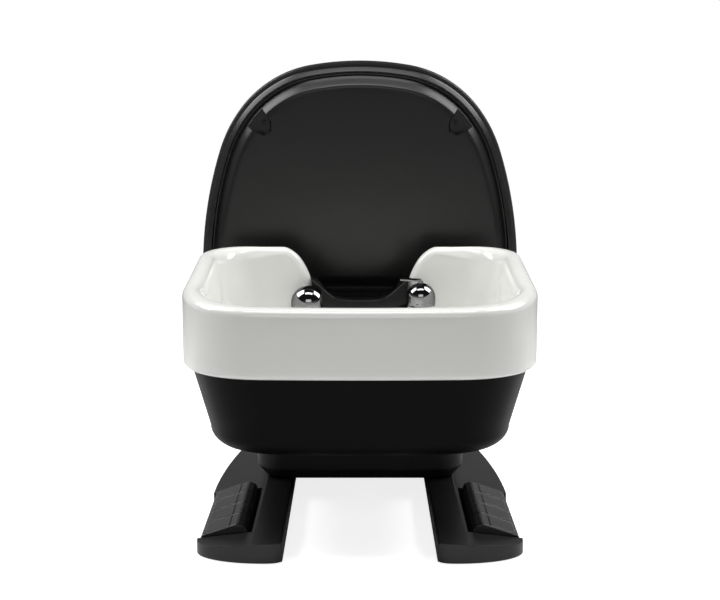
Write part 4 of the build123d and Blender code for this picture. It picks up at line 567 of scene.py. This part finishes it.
def cut(obj, parts, crease=crease_angle):
    """Takes closed parts away from an object and keeps the result as its mesh."""
    cutter = new_object("cutter", mesh_of("cutter", parts))
    step = obj.modifiers.new("cut", "BOOLEAN")
    step.operation = "DIFFERENCE"
    step.solver = "EXACT"
    step.object = cutter
    graph = bpy.context.evaluated_depsgraph_get()
    result = bpy.data.meshes.new_from_object(obj.evaluated_get(graph))
    obj.modifiers.remove(step)
    obj.data = result
    shade_mesh(result, crease)
    bpy.data.objects.remove(cutter)


def turned(centre, way, profile, around=48):
    """Lathe part: profile of (distance along way, radius), turned about the way through centre."""
    way = unit(way)
    across = unit(np.cross(way, (0, 0, 1) if abs(way[2]) < 0.9 else (1, 0, 0)))
    third = np.cross(way, across)
    turn = np.linspace(0, 2 * math.pi, around, endpoint=False)
    spokes = np.cos(turn)[:, None] * across + np.sin(turn)[:, None] * third
    profile = np.asarray(profile, float)
    along, radius = profile[:, 0, None, None], profile[:, 1, None, None]
    return skin(np.asarray(centre) + along * way + radius * spokes[None])


def arc(centre, radius, start, end, count=10):
    """Points of an arc about a centre, from one angle in degrees to another."""
    angle = np.radians(np.linspace(start, end, count))
    return np.stack([centre[0] + radius * np.cos(angle), centre[1] + radius * np.sin(angle)], axis=1)


def bowl_ring(front, side, back, corner=corner_radius, z=0.0):
    """Ring of the bowl's plan inset by its three margins, at a height."""
    return lifted(whole(half_outline(bowl_half - side, front, bowl_depth - back, corner, nose_shares,
                                     nose_turns, bowl_counts, side_break_y)), z)


def rim_rings():
    """Rings over the rolled rim, from the outer wall to the inner one.

    The rim's crest is the sloping plane, and in the back wall the notch line. A point lies between
    the two plans, and below the crest by its drop, square to it. Both rolls are quarter circles.
    """
    outer = bowl_ring(0, 0, 0)
    inner = bowl_ring(*rim_widths)
    slope = (rim_back_z - rim_front_z) / bowl_depth
    around = len(outer)
    base = np.full(around, rim_front_z)
    lean = np.zeros(around)
    up = np.ones(around)
    curve = spline(notch_line, (-1, 0), (0, -1), 46)
    foot_x = notch_line[-1][0] - notch_foot_radius
    foot = arc((foot_x, notch_floor_z + notch_foot_radius), notch_foot_radius, 0, -90, 12)[1:]
    floor = np.stack([np.linspace(foot_x, 0, 17)[1:], np.full(16, notch_floor_z)], axis=1)
    count = bowl_counts[-1]
    straight = count - len(curve) - len(foot) - len(floor)
    share = np.linspace(0, 1, straight, endpoint=False)
    start = sum(bowl_counts[:-1])
    right = slice(start, start + count)
    left = slice(around - start - count + 2, around - start + 1)
    for plan in (outer, inner):
        from_x = plan[start, 0]
        level_x = from_x + share * (notch_line[0][0] - from_x)
        level = np.stack([level_x, np.full(straight, rim_back_z)], axis=1)
        line = np.vstack([level, curve, foot, floor])
        way = unit(np.gradient(line, axis=0))
        plan[right, 0], plan[left, 0] = line[:, 0], -line[-2::-1, 0]
        base[right], base[left] = line[:, 1], line[-2::-1, 1]
        lean[right], lean[left] = way[:, 1], -way[-2::-1, 1]
        up[right], up[left] = -way[:, 0], -way[-2::-1, 0]
    base[start:around - start + 1] -= slope * bowl_depth
    gap = inner[:, :2] - outer[:, :2]
    width = np.linalg.norm(gap, axis=1)
    outer_roll = np.minimum(rim_outer_roll[0] * width, rim_outer_roll[1])
    inner_roll = np.clip(rim_inner_roll[0] * width, *rim_inner_roll[1:])
    rings = [(outer_roll * turn, outer_roll * fall) for turn, fall in quarter(9)]
    rings.append(((width + outer_roll - inner_roll) / 2, 0 * width))
    rings += [(width - inner_roll * fall, inner_roll * turn) for turn, fall in quarter(11)]
    for i, (across, drop) in enumerate(rings):
        place = outer[:, :2] + gap * (across / width)[:, None]
        height = base + slope * place[:, 1]
        rings[i] = np.column_stack([place[:, 0] - drop * lean, place[:, 1], height - drop * up])
    return rings


def shrunk(ring, middle, shares):
    """Copies of a ring drawn in towards a middle point, one for each share of its size."""
    return [middle + (ring - middle) * share for share in shares]


def sampled(line, run, at):
    """Points of a line read off at places along its run."""
    return np.stack([np.interp(at, run, line[:, i]) for i in (0, 1)], axis=1)


def blend_rings(first, last, count):
    """Rings spaced evenly between two rings, without them."""
    return [first + (last - first) * step / (count + 1) for step in range(1, count + 1)]


def basin_ring(inset, extra, z):
    """Ring of the basin's wall, drawn in by inset, and by extra at the back."""
    front, side, _ = cavity_insets
    return bowl_ring(front + inset, side + inset, deck_depth + extra, basin_corner, z)


def bowl_rings():
    """All rings of the bowl, from the skirt's lower edge over the rim and down to the drain and back.

    Between the cavity's and the basin's wall lies the deck, as wide as their plans are apart. It fades
    out along the sides, and the hollow before it and the roll after it fade with it.
    """
    rings = [bowl_ring(*skirt_inner, z=skirt_z + 4), bowl_ring(*skirt_lip, z=skirt_z)]
    for turn, fall in quarter(8)[::-1]:
        inset = skirt_radius * turn
        rings.append(bowl_ring(inset, inset, inset, z=skirt_z + skirt_radius * fall))
    rim = rim_rings()
    rings += blend_rings(rings[-1], rim[0], 8) + rim
    high = bowl_ring(*cavity_insets, z=deck_z)
    gap = basin_ring(0, 0, deck_z) - high
    depth = np.linalg.norm(gap, axis=1)
    way = gap / np.maximum(depth, 1e-6)[:, None]
    hollow = np.minimum(deck_hollow[0] * depth, deck_hollow[1])
    roll = np.minimum(deck_roll[0] * depth, deck_roll[1])
    deck = [(hollow * turn, hollow * fall) for turn, fall in quarter(7)]
    deck += [(hollow + (depth - hollow - roll) * part, 0 * depth) for part in (0.2, 0.4, 0.6, 0.8)]
    deck += [(depth - roll * fall, -roll * turn) for turn, fall in quarter(7)]
    deck = [high + way * across[:, None] + rise[:, None] * (0, 0, 1) for across, rise in deck]
    inner = len(rings)
    rings += blend_rings(rings[-1], deck[0], 9) + deck
    foot_z = basin_floor_z + basin_floor_radius
    top = deck_z - roll
    for part in np.linspace(0, 1, 9)[1:]:
        draft = basin_draft * part
        rings.append(basin_ring(draft, draft / 2, top + (foot_z - top) * part))
    for turn, fall in quarter(8)[-2::-1]:
        inset = basin_floor_radius * fall
        z = basin_floor_z + basin_floor_radius * turn
        rings.append(basin_ring(basin_draft + inset, basin_draft / 2 + inset, z))
    floor = rings[-1]
    centre = np.array([0, drain_y, basin_floor_z])
    spokes = unit(floor - centre)
    rings += blend_rings(floor, centre + spokes * (drain_radius + drain_lip), 5)
    for turn, fall in quarter(6):
        rings.append(centre + spokes * (drain_radius + drain_lip * fall) - (0, 0, drain_lip * turn))
    wall = np.array(rings[inner:])
    for _ in range(4):
        wall[1:-6] = (wall[:-7] + 2 * wall[1:-6] + wall[2:-5]) / 4
    rings[inner:] = list(wall)
    low = centre + spokes * drain_radius - (0, 0, ceramic_wall)
    under = [low, basin_ring(basin_draft + 14, basin_draft / 2 + 14, basin_floor_z - ceramic_wall),
             basin_ring(-10, -10, deck_z - 11), bowl_ring(*deck_under, z=deck_z - ceramic_wall),
             bowl_ring(*skirt_inner, z=deck_z - 13)]
    return np.array(rings + under)


def glaze():
    """White glaze: a clear glossy coat over a slightly wavy body, with a trace of cream."""
    warm = [value * 0.985 for value in glaze_colour]
    mat = surface("white_glaze", glaze_colour, 0.16, tint=((5,), warm, glaze_colour),
                  sheen=((12,), 0.13, 0.20), bump=((18, 1), 0.12, 0.0006))
    bsdf = mat.node_tree.nodes["Principled BSDF"]
    give(mat.node_tree, bsdf.inputs["Coat Weight"], 0.5)
    give(mat.node_tree, bsdf.inputs["Coat Roughness"], 0.05)
    return mat


mixer_x = 124.0
shower_x = -105.0
fittings_y = 467.0
bore_z = 330.0
bore_height = 50.0
bores = ((mixer_x, 12.0), (shower_x, 17.0))
bowl_crease = 60.0
bowl = piece("wash_bowl", [skin(bowl_rings(), "joined")], glaze(), "ceramic", "base", "bowl",
             crease=bowl_crease)
cut(bowl, [turned((x, fittings_y, bore_z), (0, 0, 1), [(0, radius), (bore_height, radius)])
           for x, radius in bores], bowl_crease)

# Bowl housing: a black tub moulded in one piece, hung under the bowl's skirt. It narrows downwards and
# turns under with a broad round edge.
housing_insets = (15.0, 47.0)
housing_bottom_z = 180.0
housing_radius = 34.0
housing_top_z = 329.7
housing_corner = 70.0
housing_wall = 4.0


def housing_rings(wall):
    """Rings of one skin of the tub from its middle up to its top edge, drawn in by wall."""
    high, low = housing_insets
    rings = []
    edge = housing_radius - wall / 2
    for turn, fall in quarter(10):
        inset = edge * fall + wall
        z = housing_bottom_z + wall + edge * turn
        rings.append(bowl_ring(low + inset, low + inset, high + inset, housing_corner, z))
    top = bowl_ring(high + wall, high + wall, wall + 4, housing_corner, housing_top_z)
    rings += blend_rings(rings[-1], top, 5) + [top]
    return shrunk(rings[0], rings[0].mean(axis=0), (0.06, 0.3, 0.6, 0.85)) + rings


housing_black = moulded_plastic("housing_black", (0.0025, 0.0025, 0.0026), 0.42, 0.3, 0.06, 0.0)
housing_skins = np.array(housing_rings(0) + housing_rings(housing_wall)[::-1])
piece("bowl_tub", [skin(housing_skins)], housing_black, "black_moulding", "base", "bowl_housing")

# Back shell: a black moulding that closes the chair's back. A bead and a groove run round its edge, a
# sloped band rises to the raised panel, and two pockets in the panel hold the screws.
back_half = 341.0
back_rise = 425.0
back_drop = 83.0
back_corner = 36.0
dome_shares = (1.7595, 0.68915, 0.87977)
dome_turns = (10.0, 42.0, 20.0)
back_counts = (14, 34, 16, 44, 4, 16, 30)
back_mid = (644.2, 470.0)
back_lean = math.radians(8.0)
shell_profile = (
    (24, -12), (16, -12), (10, -12), (9, -11), (9, -8), (9.3, -6.2), (10.4, -4.6), (12, -3), (14, -1),
    (16.5, 1.5), (18.6, 3.5), (20, 3.6), (21, 1.6), (21.8, -1.2), (23, -2), (25, -1.8), (27, -0.6),
    (29, 1), (33, 4.8), (37, 9.2), (41, 13.6), (44, 16.8), (46, 18.4), (48.5, 19.5), (52, 20),
    (56, 20.2),
)
panel_middle = 120.0
panel_crown = 2.5
pocket_x = 201.0
pocket_rise = 300.0
pocket_span = 48.0
pocket_floor = 4.0
pocket_corner = 2.5
pocket_layers = ((pocket_floor, -2.2), (pocket_floor + 1, -1.4), (18, 0.6), (20.5, 2.2), (30, 3.0))
pocket_shares = ((-0.78, 0.08), (-0.76, -0.22), (0.03, -0.52), (0.29, -0.35), (0.29, 0.04),
                 (-0.08, 0.68), (-0.62, 0.37))


def lean_back(points):
    """Points of (x, rise, depth) in the back's own plane, turned to their place."""
    x, rise, depth = points[..., 0], points[..., 1], points[..., 2]
    y = back_mid[0] - rise * math.sin(back_lean) - depth * math.cos(back_lean)
    z = back_mid[1] + rise * math.cos(back_lean) - depth * math.sin(back_lean)
    return np.stack([x, y, z], axis=-1)


def back_ring(inset, depth):
    """Ring of the back's outline, drawn in by inset, at a depth before its middle plane."""
    ring = whole(half_outline(back_half - inset, inset - back_rise, back_drop - inset,
                              back_corner - inset / 2, dome_shares, dome_turns, back_counts))
    return lifted(ring * (1, -1), depth)


def eased(profile, count, rounds):
    """Profile of (inset, depth) points, made denser and its corners eased by averaging neighbours."""
    line = np.array(profile, float)
    at = np.linspace(0, len(line) - 1, count)
    dense = sampled(line, np.arange(len(line)), at)
    for _ in range(rounds):
        dense[1:-1] = (dense[:-2] + 2 * dense[1:-1] + dense[2:]) / 4
    return dense


def rounded(points, radius, steps=5):
    """Convex outline with its corners turned into arcs: points, anticlockwise, and their normals."""
    points = np.asarray(points, float)
    turn = points[:, 0] * np.roll(points[:, 1], -1) - points[:, 1] * np.roll(points[:, 0], -1)
    if turn.sum() < 0:
        points = points[::-1]
    radius = np.broadcast_to(radius, len(points))
    before = unit(np.roll(points, 1, axis=0) - points)
    after = unit(np.roll(points, -1, axis=0) - points)
    middle = unit(before + after)
    sine = np.sqrt((1 - (before * after).sum(axis=1)) / 2)
    centre = points + middle * (radius / sine)[:, None]
    start = np.stack([-before[:, 1], before[:, 0]], axis=1)
    end = np.stack([after[:, 1], -after[:, 0]], axis=1)
    share = np.linspace(0, 1, steps)[None, :, None]
    normals = unit(start[:, None] * (1 - share) + end[:, None] * share)
    ring = centre[:, None] + radius[:, None, None] * normals
    return ring.reshape(-1, 2), normals.reshape(-1, 2)


def shell_rings():
    """Rings of the shell from its hidden rear over the bead, the groove and the band to the panel."""
    rings = [back_ring(inset, depth)[::-1] for inset, depth in eased(shell_profile, 76, 3)]
    edge = rings[-1]
    centre = np.array([0, panel_middle, edge[0, 2]])
    for part in np.linspace(0, 0.96, 16)[1:]:
        crown = panel_crown * (1 - (1 - part) ** 2)
        rings.append(centre + (edge - centre) * (1 - part) + (0, 0, crown))
    middle = np.array([0, panel_middle, rings[0][0, 2]])
    return lean_back(np.array(shrunk(rings[0], middle, (0.1, 0.5)) + rings))


def pocket_cut(side):
    """Tapered prism that cuts one screw pocket."""
    points = [(side * (pocket_x - across * pocket_span), pocket_rise + up * pocket_span)
              for across, up in pocket_shares]
    ring, out = rounded(points, pocket_corner)
    rings = [lifted(ring + out * grow, depth) for depth, grow in pocket_layers]
    return skin(lean_back(np.array(rings)), "flat")


shell_black = moulded_plastic("shell_black", (0.006, 0.006, 0.0058), 0.30, 0.08, 0.36, 0.0)
shell = piece("back_cover", [skin(shell_rings())], shell_black, "shell_moulding", "back", "back_shell",
              crease=50.0)
cut(shell, [pocket_cut(-1), pocket_cut(1)], 40.0)

# Foot pedals: four on each leg, hollow wedges of black plastic that rock on a shaft. Each has a round
# crest, a slope that falls outwards, and a thin tread plate let into the slope.
pedal_pitch = 75.5
pedal_first_y = 86.0
pedal_outline = ((203, 18), (289, 18), (289, 28), (224, 50), (210, 45), (203, 26))
pedal_radii = (1.5, 1.5, 2.5, 10, 10, 6)
pedal_gap = 0.5
pedal_end_edge = 2.2
tread_span = (238.0, 283.0)
tread_margin = 5.0
tread_height = 1.2
tread_corner = 2.5
tread_layers = ((-1.0, 0.0), (tread_height - 0.5, 0.0), (tread_height - 0.2, -0.2),
                (tread_height, -0.6))


def prism_rings(ring, out, low, high, edge):
    """Rings of a prism along y over an (x, z) outline, its two ends rounded by an edge radius."""
    along, inset = edge * np.transpose(quarter(6))
    inset = np.concatenate([inset, inset[::-1]])
    along = np.concatenate([low + along, high - along[::-1]])
    shape = ring[None] - out[None] * inset[:, None, None]
    along = np.broadcast_to(along[:, None], shape.shape[:2])
    return np.stack([shape[..., 0], along, shape[..., 1]], axis=-1)


def pedal_parts(number, side):
    """Wedge and tread plate of one pedal."""
    low = pedal_first_y + number * pedal_pitch + pedal_gap
    high = low + pedal_pitch - 2 * pedal_gap
    ring, out = rounded(pedal_outline, pedal_radii, 8)
    wedge = prism_rings(ring, out, low, high, pedal_end_edge)
    tip, crest = np.array(pedal_outline[2], float), np.array(pedal_outline[3], float)
    slope = unit(tip - crest)
    lift = np.array([-slope[1], slope[0]])
    first = crest + slope * (tread_span[0] - crest[0]) / slope[0]
    length = (tread_span[1] - tread_span[0]) / slope[0]
    near, far = low + tread_margin, high - tread_margin
    flat, normal = rounded(rectangle(0, length, near, far), tread_corner)
    rings = []
    for height, grow in tread_layers:
        at = flat + normal * grow
        place = first + at[:, :1] * slope + height * lift
        rings.append(np.column_stack([place[:, 0], at[:, 1], place[:, 1]]))
    tread = np.array(rings)
    if side < 0:
        wedge, tread = wedge * (-1, 1, 1), tread * (-1, 1, 1)
        return [skin(wedge, "flat"), skin(tread[:, ::-1], "flat")]
    return [skin(wedge[:, ::-1], "flat"), skin(tread, "flat")]


pedal_black = surface("pedal_black", (0.014, 0.014, 0.0145), 0.27, gloss=0.4, edge=moulding_edge,
                      tint=((20,), 0.013, 0.019), bump=((1800,), 0.3, 0.0001))
for side, word in ((-1, "left"), (1, "right")):
    for number in range(4):
        name = f"pedal_{word}_{number + 1}"
        pedal = piece("foot_" + name, pedal_parts(number, side), pedal_black, "pedal_plastic", name,
                      name, crease=40.0)
        weight_normals(pedal)

# Mixer: chrome on turned brass. A flange on the deck, a stem with a tapered spout, a ball cap that
# turns on the stem, and a flat lever in the cap's slot.
cap_radius = 30.0
cap_z = 413.5
lever_turn = math.radians(154.0)
lever_blade = (0, 46, -7.5, 7.5)
lever_neck = (-4, 6, -4, 4)
lever_slot = (-14, 36, -5, 5)
lever_z = (445.8, 451.8)
spout_root = (124, 467, 388)
spout_way = (-34, -17, -12)


def at_lever(points):
    """Points drawn along +x from the mixer's axis, turned to the lever's heading."""
    x, y = points[..., 0], points[..., 1]
    turned_x = x * math.cos(lever_turn) - y * math.sin(lever_turn) + mixer_x
    turned_y = x * math.sin(lever_turn) + y * math.cos(lever_turn) + fittings_y
    return np.stack([turned_x, turned_y, points[..., 2]], axis=-1)


def slab(spans, radius, layers):
    """Flat part over a rounded rectangle, with layers of (height, growth), at the lever's heading."""
    ring, out = rounded(rectangle(*spans), radius)
    rings = [lifted(ring + out * grow, z) for z, grow in layers]
    return skin(at_lever(np.array(rings)), "flat")


# The chrome's grey base colour is painted dark, well below bright chrome, and stands in for dark
# surroundings seen in its reflections.
chrome = surface("chrome_painted_dark", (0.24, 0.24, 0.25), 0.04, 1.0, sheen=((40, 5), 0.03, 0.09),
                 tint=((22,), (0.22, 0.22, 0.225), (0.27, 0.27, 0.275)), bump=((60, 2), 0.02, 0.0004))
finish_nodes(["drain_body", "strainer", "shower_holder"], chrome)
at_mixer = (mixer_x, fittings_y, 0)
base_line = [(314, 10.4), (314.6, 11), (360.2, 11), (360.3, 26), (361, 27), (364, 27),
             *arc((364, 25), 2, 90, 0, 5), (366, 17.6), (366.6, 17), (401, 17), (401.6, 16.4)]
spout_line = [(0, 13), (49, 9.2), (50.5, 8.6), (51, 7.6), (50.5, 5.6), (49, 5), (28, 5)]
piece("mixer_body", [turned(at_mixer, (0, 0, 1), base_line), turned(spout_root, spout_way, spout_line)],
      chrome, "chrome", "base", "mixer_base")
cap_line = [(402.3, 18.4), (397, 18.4), (396.2, 19.2), (396, 21), (396, 26), (396.8, 28), (400, 29.4),
            (406, 29.9), *arc((cap_z, 0), cap_radius, 90, 4, 20)]
cap = piece("mixer_ball", [turned(at_mixer, (0, 0, 1), cap_line, 72)], chrome, "chrome",
            "mixer_cap", "mixer_cap", crease=50.0)
cut(cap, [slab(lever_slot, 1.0, [(431.5, 0), (460, 0)])], 50.0)
low_z, high_z = lever_z
blade_layers = [(low_z, -1.6), (low_z + 0.5, -0.5), (low_z + 1.6, 0), (high_z - 2.2, 0),
                (high_z - 0.8, -0.6), (high_z, -2.2)]
neck_layers = [(436, -1), (437, 0), (448, 0)]
piece("mixer_handle", [slab(lever_blade, 5.0, blade_layers), slab(lever_neck, 1.5, neck_layers)],
      chrome, "chrome", "mixer_lever", "mixer_lever")

# Hand shower: a chrome ball head with a flat spray face towards the middle of the bowl, on a round
# handle that stands in the deck's ring. The nozzles are soft nubs in a shallow dish.
shower_radius = 36.0
shower_z = 402.0
face_offset = 26.0
nozzle_rings = ((7, 6), (13, 11), (18, 16))
face_radius = math.sqrt(shower_radius**2 - face_offset**2)
face_angle = math.degrees(math.acos(face_offset / shower_radius))


def nozzles():
    """Small round nubs on the spray face, one ring after another."""
    nub = [(face_offset - 3.4, 1.5), (face_offset - 1.6, 1.4), (face_offset - 0.9, 0.9),
           (face_offset - 0.7, 0.2)]
    parts = []
    for radius, count in nozzle_rings:
        for turn in np.linspace(0, 2 * math.pi, count, endpoint=False):
            y, z = fittings_y + radius * math.cos(turn), shower_z + radius * math.sin(turn)
            parts.append(turned((shower_x, y, z), (1, 0, 0), nub, 10))
    return parts


face_line = ((0.3, 0.6), (0, 1.8), (0, 3.4), (0.5, 4.2), (3, 4.8))
head_line = [*arc((0, 0), shower_radius, 176, face_angle + 3, 30),
             *((face_offset - back, face_radius - inset) for back, inset in face_line),
             (face_offset - 3, 12), (face_offset - 2.6, 0.4)]
handle_line = [(307, 10.5), (308.5, 12), (364, 12), (365, 13.4), (369, 13.4), (370, 12), (384, 12)]
piece(
    "shower_head",
    [turned((shower_x, fittings_y, shower_z), (1, 0, 0), head_line, 80),
     turned((shower_x, fittings_y, 0), (0, 0, 1), handle_line), *nozzles()],
    chrome, "chrome", "hand_shower", "hand_shower",
)

# Neck rest: a soft black saddle, moulded in one piece, that hooks over the notch. It is low in the
# middle, rises to a horn at each side, and has a lip before and behind the wall.
rest_span = (508.0, 580.0)
rest_wall = (524.7, 550.3)
rest_lip_z = 372.0
rest_edge = 4.5
rest_crown = 2.2
rest_half = 98.7
rest_line = ((-rest_half, 446), (-80, 430), (-62, 414), (-40, 404.5), (-20, 402.6), (0, 402.2))


def rest_rings():
    """Sections of the saddle from side to side, each an inverted U over the wall.

    The top follows the saddle line and bulges a little across it, and its two long edges are rounded.
    The underside lies on the notch, whose feet turn up with their radius.
    """
    half_line = spline(rest_line, (1, -0.82), (1, 0), 30)
    line = np.vstack([half_line, (half_line * (-1, 1))[-2::-1]])
    x, top = line[:, 0], line[:, 1]
    bend = np.clip(np.abs(x) + notch_foot_radius - rest_half, 0, notch_foot_radius - 0.1)
    under = notch_floor_z + 0.3 + notch_foot_radius - np.sqrt(notch_foot_radius**2 - bend**2)
    front, back = rest_span
    angle = np.radians(np.linspace(180, 90, 6))
    roll_y = front + rest_edge + rest_edge * np.cos(angle)
    roll_z = rest_edge * np.sin(angle) - rest_edge
    across = np.linspace(front + rest_edge, back - rest_edge, 9)[1:-1]
    crown = rest_crown * (1 - (2 * (across - front) / (back - front) - 1) ** 2)
    lip = rest_lip_z + 0 * x
    wall_front, wall_back = rest_wall
    y_list = [front + 1.5, front, front, *roll_y, *across, *(back + front - roll_y[::-1]),
              back, back, back - 1.5, wall_back + 1, wall_back, wall_back,
              wall_front, wall_front, wall_front - 1]
    z_rows = [lip, lip + 1.5, lip + 12, *(top + z for z in roll_z), *(top + z for z in crown),
              *(top + z for z in roll_z[::-1]), lip + 12, lip + 1.5, lip, lip, lip + 1, under,
              under, lip + 1, lip]
    y = np.broadcast_to(np.array(y_list), (len(x), len(y_list)))
    return np.stack([np.broadcast_to(x[:, None], y.shape), y, np.stack(z_rows, axis=1)], axis=-1)


soft_black = surface("soft_black", (0.003, 0.003, 0.003), 0.14, gloss=0.2, sheen=((30,), 0.12, 0.17),
                     bump=((1200,), 0.15, 0.0001))
rest = piece("neck_saddle", [skin(rest_rings()[:, ::-1], "flat")], soft_black, "soft_black", "base",
             "neck_rest", crease=50.0)

# Seat, legrest and arm cushions: foam in black vinyl, with a crowned top panel, a boxed side and a
# welted seam where they meet.
welt_radius = 2.6
side_belly = 1.5
seat_box = (245.0, (742.0, 1190.0), (330.6, 440.0))
legrest_box = (225.0, (75.0, 350.0), (1260.35, 1318.35))
arm_x = 273.0
arm_box = (29.0, (806.0, 1110.0), (566.3, 606.0))


def vinyl():
    """Black vinyl with a fine leather grain and soft creases from use."""
    mat = surface("black_vinyl", (0.012, 0.012, 0.012), 0.38, gloss=0.4, sheen=((18,), 0.33, 0.46))
    tree = mat.node_tree
    coords = node_of(tree, "ShaderNodeTexCoord")
    parts = {"Vector": coords.outputs["Object"], "Scale": 550}
    cells = node_of(tree, "ShaderNodeTexVoronoi", parts, feature="DISTANCE_TO_EDGE")
    parts = {0: noise_of(tree, 30, 5), 1: 3.0, 2: cells.outputs["Distance"]}
    creases = node_of(tree, "ShaderNodeMath", parts, operation="MULTIPLY_ADD")
    relief(tree, tree.nodes["Principled BSDF"], creases.outputs[0], 0.35, 0.0006)
    return mat


def evenly(ring, out, count):
    """Closed outline and its normals, as evenly spaced points."""
    loop = np.vstack([ring, ring[:1]])
    sides = np.vstack([out, out[:1]])
    run = np.concatenate([[0], np.cumsum(np.linalg.norm(np.diff(loop, axis=0), axis=1))])
    at = np.linspace(0, run[-1], count, endpoint=False)
    return sampled(loop, run, at), unit(sampled(sides, run, at))


def cushion_parts(half, span, height, corner, edge, crown, middle=0.0, stood=False):
    """Cushion over a rounded rectangle of (u, v), with a welt under its top, as two parts.

    The side bellies out between two seams. The top panel rises by crown (1 - u^2)(1 - v^2), with u
    and v measured from the middle as shares of the half sizes. A stood cushion has v as its height.
    """
    near, far = span
    low, high = height
    box = rectangle(middle - half, middle + half, near, far)
    ring, out = evenly(*rounded(box, corner, 12), 220)
    centre = np.array([middle, (near + far) / 2])
    seam = high - crown - edge
    rings = []
    for part in (0.05, 0.35, 0.7):
        rings.append((centre + (ring - out * edge / 2 - centre) * part, low))
    for turn, fall in quarter(7):
        rings.append((ring - out * (edge / 2 * fall + side_belly), low + edge / 2 * turn))
    for part in np.linspace(0, 1, 9)[1:-1]:
        belly = side_belly * (1 - math.sin(math.pi * part))
        rings.append((ring - out * belly, low + edge / 2 + (seam - low - edge / 2) * part))
    for turn, fall in quarter(9)[::-1]:
        rings.append((ring - out * (edge * fall + side_belly), seam + edge * (1 - turn)))
    top = rings[-1][0]
    for part in np.linspace(1, 0.04, 14)[1:]:
        rings.append((centre + (top - centre) * part, high - crown))
    reach = np.abs(top - centre).max(axis=0)
    points = []
    for flat, level in rings:
        share = np.clip(1 - ((flat - centre) / reach) ** 2, 0, 1)
        rise = crown * share[:, 0] * share[:, 1] * (level > seam)
        points.append(lifted(flat, level + rise))
    turn = np.linspace(0, 2 * math.pi, 12, endpoint=False)
    welt = [lifted(ring + out * welt_radius * (math.cos(a) - 1), seam + welt_radius * math.sin(a))
            for a in turn]
    parts = [np.array(points), np.array(welt)]
    if stood:
        parts = [part[:, ::-1][..., [0, 2, 1]] for part in parts]
    return [skin(parts[0]), skin(parts[1], "joined")]


black_vinyl = vinyl()
seat = piece("seat_pad", cushion_parts(*seat_box, 60, 28, 9), black_vinyl, "upholstery", "seat",
             "seat_cushion")
legrest = piece("legrest_pad", cushion_parts(*legrest_box, 28, 20, 6, stood=True), black_vinyl,
                "upholstery", "legrest", "legrest_cushion")
arm_parts = [part for side in (-1, 1) for part in cushion_parts(*arm_box, 19.3, 14, 3, side * arm_x)]
arms = piece("arm_rests", arm_parts, black_vinyl, "upholstery", "seat", "arm_pads")

# Back cushion: foam in black vinyl over the board, domed like the shell and a little wider, so that its
# edge shows round the shell. Its foot is cut away where the seat passes.
back_rear = -12.3
back_thick = 87.6
back_soft_inset = 60.0
back_hollow = (20.0, -42.2)
back_layers = ((0.04, 0.0), (0, 0.06), (0, 0.12), (0.02, 0.3), (0.08, 0.5), (0.14, 0.64),
               (0.24, 0.76), (0.36, 0.85), (0.5, 0.92), (0.75, 0.97), (1, 1))
back_clear_box = ((-249.0, 734.0, 167.6), (249.0, 884.0, 448.0))


def back_cushion_rings():
    """Rings from the hollow behind the foam round its edge to the middle of the front."""
    inset, depth = back_hollow
    floor = back_ring(inset, depth)
    middle = np.array([0, panel_middle, depth])
    rings = shrunk(floor, middle, (0.1, 0.5, 1))
    rings.append(back_ring(inset, back_rear))
    for share, deep in eased(back_layers, 34, 2):
        rings.append(back_ring(share * back_soft_inset, back_rear - deep * back_thick))
    edge = rings[-1]
    middle = np.array([0, panel_middle, edge[0, 2]])
    rings += shrunk(edge, middle, np.linspace(1, 0.04, 16)[1:])
    return lean_back(np.array(rings))


def box_part(low, high):
    """Plain box between two corners."""
    (x0, y0, z0), (x1, y1, z1) = low, high
    return skin(np.array([lifted(rectangle(x0, x1, y0, y1), z) for z in (z0, z1)]), "flat")


back = piece("back_pad", [skin(back_cushion_rings())], black_vinyl, "upholstery", "back",
             "back_cushion")
cut(back, [box_part(*back_clear_box)], 40.0)
